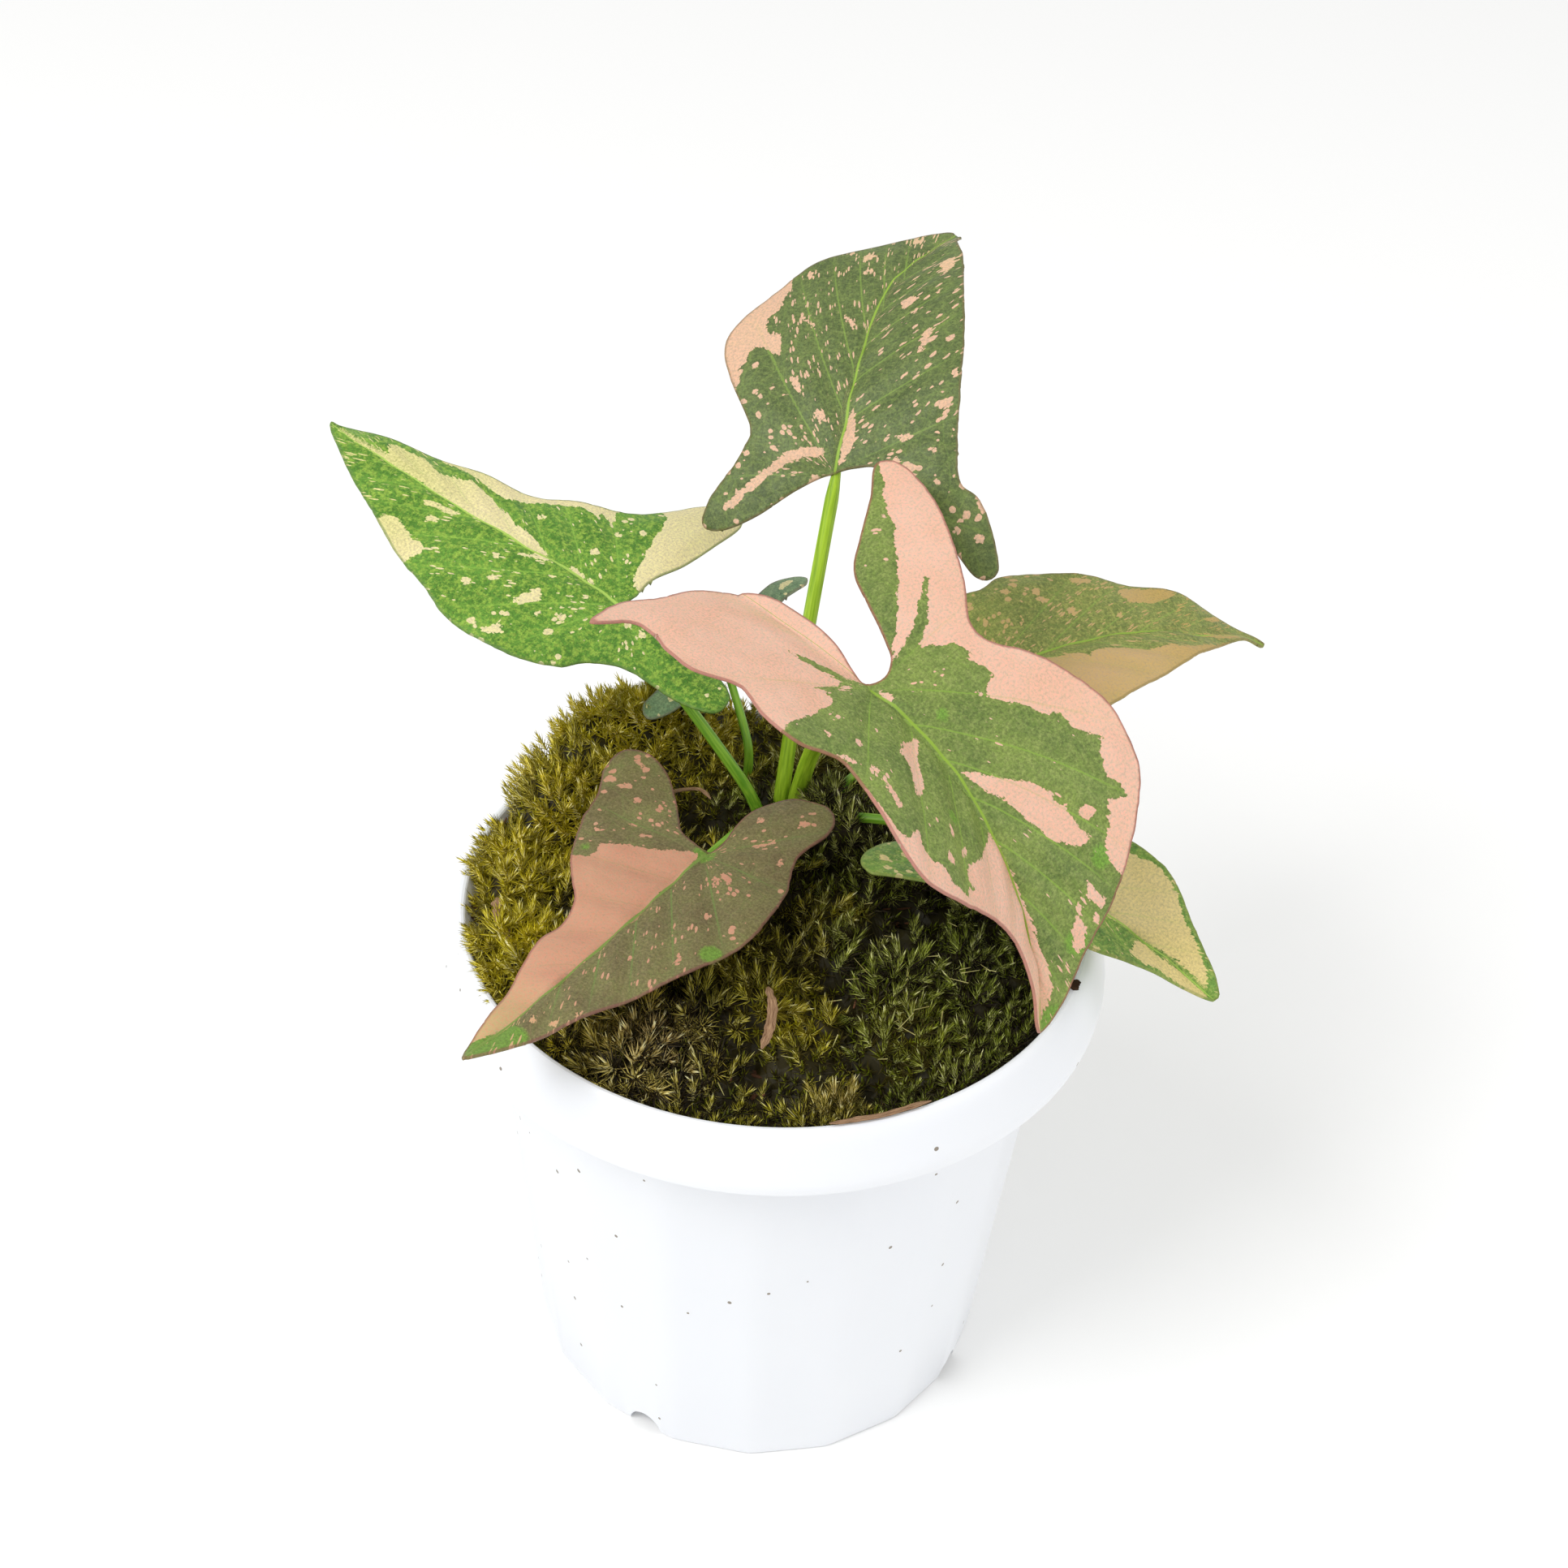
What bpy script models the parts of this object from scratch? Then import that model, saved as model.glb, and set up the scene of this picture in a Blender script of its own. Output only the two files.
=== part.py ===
# Variegated arrowhead plant in a white plastic nursery pot.
# Frame: origin at the centre of the pot's underside, +Z up, metres. The plant faces -Y.
# Sizes below are millimetres, and mm() turns them into metres.

import math
import bmesh
import bpy
from mathutils import Matrix, Vector

# Clearance left between two solids that rest on each other
GAP = 0.3

# Pot: a tapered, facetted wall under a rolled collar
POT_SEGMENTS = 54
POT_FACETS = 18
POT_FOOT_RADIUS = 47.0
POT_NECK_RADIUS = 55.7
POT_NECK_HEIGHT = 96.0
POT_WALL = 1.3
POT_FLOOR_TOP = 4.6
POT_RECESS = 3.0
POT_MOUTH_RADIUS = 59.5
POT_BEAD_RADIUS = 65.0
POT_HEIGHT = 111.0
NOTCH_COUNT = 4
NOTCH_FIRST_ANGLE = -118.0
NOTCH_WIDTH = 7.5
NOTCH_HEIGHT = 4.4
DRAIN_COUNT = 6
DRAIN_RADIUS = 3.5
DRAIN_CIRCLE = 27.0

# Potting mix and the two stem crowns that stand in it
MIX_TOP = 97.0
CROWN_CENTRE = (1.5, 25.0)
CROWN_RADIUS = 8.0
CROWN_TOP = 108.0
CROWN_FOOT = 88.0
BACK_CROWN_CENTRE = (-7.0, 37.5)
BACK_CROWN_RADIUS = 3.4
BACK_CROWN_TOP = 109.0
BACK_CROWN_CLEARING = 2.2

# Moss: cushions side by side round the crown, out to the pot wall
MOSS_CLEARING = 14.5
MOSS_EDGE_GAP = 0.7
MOSS_RIM_HEIGHT = 108.8
MOSS_WALL_HEIGHT = 102.0
MOSS_DOME = 8.5
MOSS_TILT = (-0.05, 0.05)
# A higher ridge of moss behind the plant on the left
MOSS_RIDGE_START = (-47.0, 30.0)
MOSS_RIDGE_END = (-22.0, 53.0)
MOSS_RIDGE_HEIGHT = 10.0
MOSS_RIDGE_SPREAD = 8.5
# Each cushion: name, first and last bearing from the crown in degrees, height of its own bulge
MOSS_CUSHIONS = [
    ("moss_right", -42.0, 30.0, 1.2),
    ("moss_back_right", 30.0, 88.0, 0.6),
    ("moss_back", 88.0, 142.0, 1.6),
    ("moss_left", 142.0, 201.0, 1.8),
    ("moss_front_left", 201.0, 248.0, 1.6),
    ("moss_front", 248.0, 283.0, 1.0),
    ("moss_front_right", 283.0, 318.0, 1.4),
]

# Leaves
BLADE_THICKNESS = 0.6
BLADE_CELL = 7.0
OUTLINE_STEP = 4.5
PETIOLE_TIP_RADIUS = 0.9

# One leaf per entry. junction: where the petiole meets the blade, in the pot's frame.
# heading, pitch, roll: how the midrib points at the junction. droop: bend of the midrib over
# the blade's length. lobe_droop: bend of the basal lobes. fold: lift of each half (right,
# left) at the base, and fold_gain its change towards the tip. curl: roundness of the halves.
# sweep: sideways curve of the midrib at the tip. right and left: the margin from the sinus
# to the tip as (distance from midrib, distance along it), on the flat blade.
LEAVES = {
    "top": dict(
        junction=(7.7, 54.6, 174.0), heading=86, pitch=45, roll=13, droop=54, lobe_droop=34,
        fold=(6, 8), fold_gain=(8, 6), curl=13, sweep=12, length=66, half_width=25,
        sinus=(0, 0), tip=(0, 68),
        right=[(4, 1), (9, 1), (15, -4), (23, -12), (29, -19), (33, -18), (32, -11), (29, -4),
               (25, -1), (24, 4), (23, 11), (22, 19), (20, 28), (17, 37), (13, 46), (9, 54), (4, 61)],
        left=[(3, -1), (8, -4), (15, -9), (22, -12), (26, -11), (25, -6), (22, -1), (19, 4),
              (18, 8), (21, 13), (25, 19), (28, 26), (26, 34), (22, 42), (18, 49), (13, 55), (7, 61)],
        foot=(0.0, 29.0), arch=[(0.6, 30.5, 118.0), (3.2, 39.0, 142.0)], stalk=1.75,
        colour=(0.10, 0.17, 0.07)),
    "left": dict(
        junction=(-33.1, 39.2, 151.0), heading=150, pitch=18, roll=5, droop=0, lobe_droop=0,
        fold=(5, 2), fold_gain=(-30, -4), curl=12, sweep=-5, length=68, half_width=25,
        sinus=(1, -1), tip=(0, 69),
        right=[(4, -1), (10, -1), (18, -3), (28, -4), (38, -4), (41, -1), (38, 5), (31, 9),
               (25, 13), (21, 18), (18, 24), (14, 30), (12, 36), (11, 42), (10, 48), (8, 54), (5, 61)],
        left=[(-1, -8), (0, -16), (0, -24), (3, -29), (8, -29), (10, -24), (11, -17), (12, -10),
              (15, -4), (20, 0), (24, 7), (25, 15), (25, 23), (22, 31), (19, 39), (15, 47), (11, 54),
              (6, 62)],
        foot=(-3.6, 24.8), arch=[(-5.0, 25.4, 114.0), (-11.0, 28.2, 123.0)], stalk=1.4,
        colour=(0.12, 0.30, 0.06)),
    "front": dict(
        junction=(15.1, -5.4, 167.0), heading=-37, pitch=-16, roll=3, droop=62, lobe_droop=10,
        fold=(13, 18), fold_gain=(10, 10), curl=0, sweep=7, length=76, half_width=32,
        sinus=(-0.5, -1.5), tip=(1, 71),
        right=[(-1, -5), (-3, -11), (-4, -19), (-3, -27), (2, -33), (9, -36), (18, -37), (27, -39),
               (37, -37), (29, -34), (28, -30), (30, -25), (31, -19), (26, -13), (26, -10), (29, -4),
               (29, 3), (24, 8), (24, 13), (28, 24), (27, 32), (20, 39), (12, 45), (6, 52), (4, 60),
               (2.5, 67)],
        left=[(4, 0), (8, -2), (11, -7), (14, -13), (18, -19), (25, -23), (33, -27), (40, -31),
              (43, -27), (41, -19), (36, -11), (30, -3), (24, 3), (23, 7), (27, 12), (31, 20),
              (34, 30), (32, 40), (26, 46), (18, 53), (10, 59), (4, 65)],
        foot=(4.6, 27.2), arch=[(5.4, 26.4, 118.0), (8.0, 19.0, 138.0)], stalk=2.1,
        colour=(0.62, 0.42, 0.30)),
    "right": dict(
        junction=(41.0, 42.8, 136.0), heading=24, pitch=14, roll=0, droop=42, lobe_droop=10,
        fold=(7, 10), fold_gain=(2, 4), curl=9, sweep=-3, length=62, half_width=22,
        sinus=(0, -1), tip=(0, 69),
        right=[(3, -1), (8, -4), (14, -9), (20, -14), (23, -12), (22, -5), (20, 1), (20, 7),
               (21, 14), (20, 20), (17, 28), (13, 37), (9, 45), (5, 53), (2, 62)],
        left=[(3, -1), (8, -3), (15, -7), (22, -11), (26, -9), (27, -3), (24, 3), (22, 8), (24, 13),
              (23, 19), (20, 26), (17, 33), (14, 40), (11, 49), (6, 57), (2, 63)],
        foot=(6.5, 23.0), arch=[(8.6, 24.0, 114.5), (18.0, 29.5, 123.0)], stalk=1.3,
        colour=(0.16, 0.20, 0.06)),
    "low_left": dict(
        junction=(-13.8, -5.6, 126.5), heading=-125, pitch=-3, roll=-4, droop=-7, lobe_droop=-14,
        fold=(6, 2), fold_gain=(0, -4), curl=0, sweep=-1.5, length=68, half_width=25,
        sinus=(0, -1), tip=(0, 69),
        right=[(3, -1), (7, -2), (10, -5), (14, -9), (19, -13), (25, -15), (30, -13), (30, -7),
               (26, 0), (24, 7), (20, 15), (15, 21), (11, 25), (9, 31), (9, 37), (7, 45), (5, 51),
               (3, 59)],
        left=[(1, -5), (0.5, -10), (1, -15), (4, -20), (8, -22), (14, -22), (17, -17), (16, -8),
              (19, -1), (21, 5), (22, 12), (21, 19), (18, 28), (14, 38), (11, 46), (8, 54), (5, 61),
              (3, 66)],
        foot=(-1.8, 20.6), arch=[(-2.6, 18.0, 116.0), (-7.0, 7.0, 123.0)], stalk=1.2,
        colour=(0.20, 0.15, 0.09)),
    "low_right": dict(
        junction=(40.2, 9.4, 121.0), heading=-36, pitch=-2, roll=0, droop=23, lobe_droop=10,
        fold=(14, 13), fold_gain=(8, 0), curl=0, sweep=-2, length=56, half_width=22,
        sinus=(0, -1), tip=(0, 54),
        right=[(4, -2), (9, -6), (14, -10), (20, -12), (27, -11), (30, -7), (28, -3), (25, 2),
               (21, 6), (19, 12), (18, 18), (16, 25), (14, 31), (11, 37), (8, 42), (4, 48)],
        left=[(4, -2), (10, -7), (16, -12), (22, -14), (25, -10), (23, -4), (19, 2), (16, 8),
              (16, 15), (17, 22), (16, 30), (14, 35), (10, 41), (6, 47), (3, 52)],
        foot=(3.0, 20.3), arch=[(5.0, 19.6, 116.0), (14.0, 17.0, 120.5), (28.0, 13.2, 121.0)],
        stalk=1.2, colour=(0.55, 0.50, 0.22)),
    "back": dict(
        junction=(-10.9, 49.9, 129.0), heading=144, pitch=4, roll=6, droop=34, lobe_droop=8,
        fold=(5, 5), fold_gain=(0, 0), curl=8, sweep=0, length=42, half_width=18,
        sinus=(0, -1), tip=(0, 46),
        right=[(3, 0), (8, 1), (15, 3), (23, 5), (31, 5), (33, 8), (28, 11), (22, 11), (16, 10),
               (12, 12), (9, 17), (9, 24), (7, 32), (4, 39)],
        left=[(3, 0), (8, 0), (14, 1), (19, 2), (22, 4), (20, 7), (13, 8), (10, 12), (9, 20),
              (8, 28), (5, 36), (3, 41)],
        foot=BACK_CROWN_CENTRE, arch=[(-7.2, 38.9, 119.0)], stalk=1.05,
        colour=(0.08, 0.20, 0.12)),
}
PETIOLE_SIDES = 8
PETIOLE_RINGS = 11

# Loose plant litter: name, plan points, half width, thickness, height of its underside over the carpet
LITTER = [
    ("bark_strip", [(-0.6, -30.5), (0.4, -34.5), (0.0, -39.5), (-1.2, -43.5)], 0.8, 0.8, 1.1),
    ("dry_twig", [(-25.0, 18.0), (-20.0, 21.0), (-16.0, 21.5), (-13.6, 18.5)], 0.6, 0.9, 1.4),
    ("bark_chip", [(-53.0, -7.0), (-52.0, -12.0), (-49.6, -18.0)], 1.3, 1.0, 0.2),
]
RIM_TWIG = [(11.3, -59.1), (20.5, -56.5), (29.5, -52.3)]
RIM_CRUMB = [(56.4, -21.8), (57.4, -19.0)]


def mm(value):
    return value * 0.001


def clear_scene():
    for item in list(bpy.data.objects):
        bpy.data.objects.remove(item, do_unlink=True)


def principled(name, colour, roughness):
    material = bpy.data.materials.new(name)
    material.use_nodes = True
    shader = material.node_tree.nodes["Principled BSDF"]
    shader.inputs["Base Color"].default_value = (*colour, 1.0)
    shader.inputs["Roughness"].default_value = roughness
    shader.inputs["Metallic"].default_value = 0.0
    return material


def add_object(name, mesh_builder, material):
    mesh_builder.normal_update()
    mesh = bpy.data.meshes.new(name)
    mesh_builder.to_mesh(mesh)
    mesh_builder.free()
    item = bpy.data.objects.new(name, mesh)
    item.data.materials.append(material)
    bpy.context.scene.collection.objects.link(item)
    return item


def smooth(item, angle=35.0):
    item.data.shade_smooth()
    item.data.set_sharp_from_angle(angle=math.radians(angle))


def add_ring(bm, radii, height):
    count = len(radii)
    ring = []
    for index, radius in enumerate(radii):
        turn = 2.0 * math.pi * index / count
        ring.append(bm.verts.new((mm(radius * math.cos(turn)), mm(radius * math.sin(turn)), mm(height))))
    return ring


def bridge(bm, lower, upper):
    count = len(lower)
    for index in range(count):
        after = (index + 1) % count
        bm.faces.new((lower[index], lower[after], upper[after], upper[index]))


def cap(bm, ring, facing_up):
    bm.faces.new(ring if facing_up else list(reversed(ring)))


def turned(name, profile, segments, centre, material):
    """Closed turned solid whose profile runs from the axis at the bottom to the axis at the top."""
    bm = bmesh.new()
    rings = [add_ring(bm, [radius] * segments, height) for radius, height in profile]
    cap(bm, rings[0], False)
    for lower, upper in zip(rings, rings[1:]):
        bridge(bm, lower, upper)
    cap(bm, rings[-1], True)
    bmesh.ops.translate(bm, verts=bm.verts, vec=(mm(centre[0]), mm(centre[1]), 0.0))
    item = add_object(name, bm, material)
    smooth(item)
    return item


def subtract(item, cutter, label):
    cutter.hide_render = True
    cutter.display_type = "WIRE"
    cut = item.modifiers.new(label, "BOOLEAN")
    cut.operation = "DIFFERENCE"
    cut.object = cutter


def facet_factor(index):
    """Radius of a flat facet's points as a share of the radius of its corners."""
    per_facet = POT_SEGMENTS // POT_FACETS
    half = math.pi / POT_FACETS
    along = (index % per_facet) / per_facet * 2.0 * half - half
    return math.cos(half) / math.cos(along)


def pot_profile():
    """Outer profile from the underside to the lip, then the inner profile down to the floor."""
    neck = POT_NECK_RADIUS
    mouth = POT_MOUTH_RADIUS
    bead = POT_BEAD_RADIUS
    top = POT_HEIGHT
    outer = [
        (14.0, 0.0, False), (15.0, POT_RECESS, False), (41.0, POT_RECESS, False), (42.0, 0.0, False),
        (POT_FOOT_RADIUS - 0.9, 0.0, True), (POT_FOOT_RADIUS, 1.0, True), (neck, POT_NECK_HEIGHT, True),
        (neck + 0.5, POT_NECK_HEIGHT + 3.0, False), (neck + 2.0, top - 7.0, False),
        (mouth + 0.9, top - 1.6, False), (mouth + 2.2, top - 3.2, False), (bead - 2.0, top - 8.0, False),
        (bead - 1.3, top - 12.4, False), (bead - 0.2, top - 12.5, False), (bead, top - 11.2, False),
        (bead - 0.6, top - 8.6, False), (bead - 1.8, top - 4.6, False), (mouth + 2.2, top - 1.2, False),
        (mouth + 1.0, top, False), (mouth + 0.2, top - 0.3, False),
    ]
    inner = [
        (mouth - 0.2, top - 1.2, False), (neck + 0.9, top - 8.0, False),
        (neck - POT_WALL, POT_NECK_HEIGHT, False),
        (POT_FOOT_RADIUS - POT_WALL, POT_FLOOR_TOP + 1.2, False),
        (POT_FOOT_RADIUS - POT_WALL - 1.2, POT_FLOOR_TOP, False),
    ]
    return outer + inner


def build_pot():
    bm = bmesh.new()
    rings = []
    for radius, height, facetted in pot_profile():
        radii = [radius * (facet_factor(i) if facetted else 1.0) for i in range(POT_SEGMENTS)]
        rings.append(add_ring(bm, radii, height))
    cap(bm, rings[0], False)
    for lower, upper in zip(rings, rings[1:]):
        bridge(bm, lower, upper)
    cap(bm, rings[-1], True)
    pot = add_object("pot", bm, principled("white_polypropylene", (0.90, 0.91, 0.93), 0.35))
    smooth(pot, 20.0)
    subtract(pot, drain_cutter(), "drain_holes")
    subtract(pot, notch_cutter(), "side_notches")


def drain_cutter():
    bm = bmesh.new()
    for index in range(DRAIN_COUNT):
        turn = 2.0 * math.pi * index / DRAIN_COUNT
        place = Matrix.Translation((mm(DRAIN_CIRCLE * math.cos(turn)), mm(DRAIN_CIRCLE * math.sin(turn)),
                                    mm(POT_FLOOR_TOP)))
        bmesh.ops.create_cone(bm, cap_ends=True, segments=12, radius1=mm(DRAIN_RADIUS),
                              radius2=mm(DRAIN_RADIUS), depth=mm(8.0), matrix=place)
    return add_object("drain_cutter", bm, principled("cutter", (1.0, 0.0, 0.0), 0.5))


def notch_cutter():
    """Arched blocks through the foot ring, where water runs out sideways."""
    bm = bmesh.new()
    half = NOTCH_WIDTH / 2.0
    for index in range(NOTCH_COUNT):
        turn = math.radians(NOTCH_FIRST_ANGLE + index * 360.0 / NOTCH_COUNT)
        arch = [(-half, -2.0), (half, -2.0)]
        for step in range(7):
            swing = math.pi * step / 6
            arch.append((half * math.cos(swing), NOTCH_HEIGHT * math.sin(swing)))
        near = [bm.verts.new((mm(38.0), mm(y), mm(z))) for y, z in arch]
        far = [bm.verts.new((mm(56.0), mm(y), mm(z))) for y, z in arch]
        bm.faces.new(list(reversed(near)))
        bm.faces.new(far)
        bridge(bm, near, far)
        bmesh.ops.rotate(bm, verts=near + far, cent=(0, 0, 0), matrix=Matrix.Rotation(turn, 3, "Z"))
    bmesh.ops.recalc_face_normals(bm, faces=bm.faces)
    return add_object("notch_cutter", bm, principled("cutter", (1.0, 0.0, 0.0), 0.5))


def inner_wall_radius(height):
    """Radius of the pot's inside at a height, straight between the profile's corners."""
    corners = [(POT_FLOOR_TOP + 1.2, POT_FOOT_RADIUS - POT_WALL), (POT_NECK_HEIGHT, POT_NECK_RADIUS - POT_WALL),
               (POT_HEIGHT - 8.0, POT_NECK_RADIUS + 0.9), (POT_HEIGHT - 1.2, POT_MOUTH_RADIUS - 0.2)]
    for (low, narrow), (high, wide) in zip(corners, corners[1:]):
        if height <= high:
            return narrow + (wide - narrow) * (height - low) / (high - low)
    return corners[-1][1]


def build_potting_mix():
    profile = [
        (POT_FOOT_RADIUS - POT_WALL - 2.6, POT_FLOOR_TOP + GAP),
        (inner_wall_radius(POT_FLOOR_TOP + 3.0) - 0.4, POT_FLOOR_TOP + 3.0),
        (inner_wall_radius(POT_NECK_HEIGHT) - 0.4, POT_NECK_HEIGHT),
        (inner_wall_radius(MIX_TOP) - 0.6, MIX_TOP),
    ]
    soil = principled("coir_potting_mix", (0.05, 0.032, 0.02), 0.95)
    mix = turned("potting_mix", profile, POT_SEGMENTS, (0.0, 0.0), soil)
    for name, centre, radius in (("crown_socket", CROWN_CENTRE, CROWN_RADIUS),
                                 ("back_crown_socket", BACK_CROWN_CENTRE, BACK_CROWN_RADIUS)):
        profile = [(radius + GAP, CROWN_FOOT - GAP), (radius + GAP, MIX_TOP + 10.0)]
        socket = turned(name, profile, 24, centre, soil)
        subtract(mix, socket, name)


def build_crown(name, centre, radius, top):
    """Swollen stem base that the petioles rise from."""
    profile = [
        (radius * 0.70, CROWN_FOOT), (radius * 0.97, CROWN_FOOT + radius * 0.4), (radius * 0.97, top - 8.0),
        (radius * 0.90, top - 4.0), (radius, top - 1.6), (radius * 0.93, top),
    ]
    turned(name, profile, 24, centre, principled("leaf_sheath", (0.32, 0.42, 0.10), 0.5))


def moss_height(x, y):
    """Height of the moss carpet over the pot, without the cushions' own bulges."""
    reach = math.hypot(x, y) / POT_NECK_RADIUS
    start = Vector(MOSS_RIDGE_START)
    span = Vector(MOSS_RIDGE_END) - start
    here = Vector((x, y))
    share = min(max((here - start).dot(span) / span.length_squared, 0.0), 1.0)
    offset = (here - start - span * share).length
    ridge = MOSS_RIDGE_HEIGHT * math.exp(-0.5 * (offset / MOSS_RIDGE_SPREAD) ** 2)
    tilt = MOSS_TILT[0] * x + MOSS_TILT[1] * y
    return MOSS_RIM_HEIGHT + MOSS_DOME * (1.0 - reach * reach) + tilt + ridge


def ray_to_wall(bearing, radius):
    """Distance from the crown to a circle round the pot's axis, along a bearing."""
    dx, dy = math.cos(bearing), math.sin(bearing)
    cx, cy = CROWN_CENTRE
    along = cx * dx + cy * dy
    return -along + math.sqrt(along * along - (cx * cx + cy * cy) + radius * radius)


def build_cushion(name, first, last, bulge):
    bearings = 10
    steps = 7
    bm = bmesh.new()
    top = []
    bottom = []
    for i in range(bearings + 1):
        across = i / bearings
        bearing = math.radians(first + (last - first) * across)
        wall = ray_to_wall(bearing, inner_wall_radius(MOSS_WALL_HEIGHT) - 0.8)
        foot = ray_to_wall(bearing, inner_wall_radius(MIX_TOP) - 0.8)
        side_x = -math.sin(bearing) * MOSS_EDGE_GAP / 2.0 * (1.0 - 2.0 * across)
        side_y = math.cos(bearing) * MOSS_EDGE_GAP / 2.0 * (1.0 - 2.0 * across)
        top_row = []
        bottom_row = []
        for j in range(steps + 1):
            out = j / steps
            reach = MOSS_CLEARING + (wall - MOSS_CLEARING) * out
            x = CROWN_CENTRE[0] + reach * math.cos(bearing) + side_x
            y = CROWN_CENTRE[1] + reach * math.sin(bearing) + side_y
            edge = 1.0 - (2.0 * across - 1.0) ** 4
            rise = bulge * edge * math.sin(math.pi * min(1.0, 0.15 + 0.85 * out))
            height = moss_height(x, y) + rise - 1.6 * (1.0 - edge) - 1.2 * out ** 6
            top_row.append(bm.verts.new((mm(x), mm(y), mm(height))))
            reach = MOSS_CLEARING + (foot - MOSS_CLEARING) * out
            x = CROWN_CENTRE[0] + reach * math.cos(bearing) + side_x
            y = CROWN_CENTRE[1] + reach * math.sin(bearing) + side_y
            if j in (0, steps) or i in (0, bearings):
                bottom_row.append(bm.verts.new((mm(x), mm(y), mm(MIX_TOP + GAP))))
            else:
                bottom_row.append(None)
        top.append(top_row)
        bottom.append(bottom_row)
    for i in range(bearings):
        for j in range(steps):
            bm.faces.new((top[i][j], top[i][j + 1], top[i + 1][j + 1], top[i + 1][j]))
        bm.faces.new((top[i][0], top[i + 1][0], bottom[i + 1][0], bottom[i][0]))
        bm.faces.new((top[i + 1][-1], top[i][-1], bottom[i][-1], bottom[i + 1][-1]))
    for j in range(steps):
        bm.faces.new((top[0][j + 1], top[0][j], bottom[0][j], bottom[0][j + 1]))
        bm.faces.new((top[-1][j], top[-1][j + 1], bottom[-1][j + 1], bottom[-1][j]))
    rim = [row[0] for row in bottom] + bottom[-1][1:] + [row[-1] for row in reversed(bottom[:-1])]
    rim += list(reversed(bottom[0][1:-1]))
    bm.faces.new(rim)
    bmesh.ops.recalc_face_normals(bm, faces=bm.faces)
    cushion = add_object(name, bm, principled(name + "_green", (0.14, 0.18, 0.03), 0.9))
    smooth(cushion)
    return cushion


def build_moss():
    for name, first, last, bulge in MOSS_CUSHIONS:
        cushion = build_cushion(name, first, last, bulge)
        if name == "moss_back":
            radius = BACK_CROWN_RADIUS + BACK_CROWN_CLEARING
            profile = [(radius, MIX_TOP - 4.0), (radius, POT_HEIGHT + 20.0)]
            clearing = turned("back_clearing", profile, 16, BACK_CROWN_CENTRE,
                              principled("cutter", (1.0, 0.0, 0.0), 0.5))
            subtract(cushion, clearing, "back_clearing")


def leaf_axes(leaf):
    """Across, along and up directions of a blade at its junction."""
    heading, pitch, roll = (math.radians(leaf[key]) for key in ("heading", "pitch", "roll"))
    along = Vector((math.cos(heading) * math.cos(pitch), math.sin(heading) * math.cos(pitch), math.sin(pitch)))
    level = Vector((-math.cos(heading) * math.sin(pitch), -math.sin(heading) * math.sin(pitch), math.cos(pitch)))
    side = along.cross(level)
    across = side * math.cos(roll) + level * math.sin(roll)
    up = level * math.cos(roll) - side * math.sin(roll)
    return across, along, up


def blade_point(leaf, axes, s, t):
    """A point of the flat blade, s from the midrib and t along it, on the bent and folded leaf."""
    share = min(max(t / leaf["length"], 0.0), 1.0)
    bend = math.radians(leaf["droop"]) / leaf["length"]
    if t < 0.0:
        bend = math.radians(leaf["lobe_droop"]) * 2.0 / leaf["length"]
    if abs(bend) < 1e-6:
        bend = 1e-6
    turn = bend * t
    run = math.sin(turn) / bend
    drop = -(1.0 - math.cos(turn)) / bend
    half = 0 if s >= 0.0 else 1
    fold = math.radians(leaf["fold"][half] + leaf["fold_gain"][half] * share)
    curl = math.radians(leaf["curl"]) / leaf["half_width"]
    if abs(curl) < 1e-6:
        curl = 1e-6
    reach = abs(s)
    wide = math.copysign((math.sin(fold) - math.sin(fold - curl * reach)) / curl, s)
    lift = (math.cos(fold - curl * reach) - math.cos(fold)) / curl
    wide += leaf["sweep"] * share * share
    across, along, up = axes
    offset = across * wide + along * (run + lift * math.sin(turn)) + up * (drop + lift * math.cos(turn))
    return (Vector(leaf["junction"]) + offset) * 0.001


def smooth_outline(leaf, step):
    """Closed margin through the leaf's points, read off a smooth curve about every step."""
    corners = [leaf["sinus"]] + leaf["right"] + [leaf["tip"]]
    corners += [(-s, t) for s, t in reversed(leaf["left"])]
    count = len(corners)
    outline = []
    for index in range(count):
        before, start, end, after = (Vector(corners[(index + k - 1) % count]) for k in range(4))
        pieces = max(1, round((end - start).length / step))
        for piece in range(pieces):
            u = piece / pieces
            outline.append(0.5 * (2.0 * start + (end - before) * u
                                  + (2.0 * before - 5.0 * start + 4.0 * end - after) * u * u
                                  + (3.0 * start - before - 3.0 * end + after) * u ** 3))
    return outline


def cut_lines(low, high, cell):
    first = math.ceil(low / cell)
    last = math.floor(high / cell)
    return [index * cell for index in range(first, last + 1)]


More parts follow.
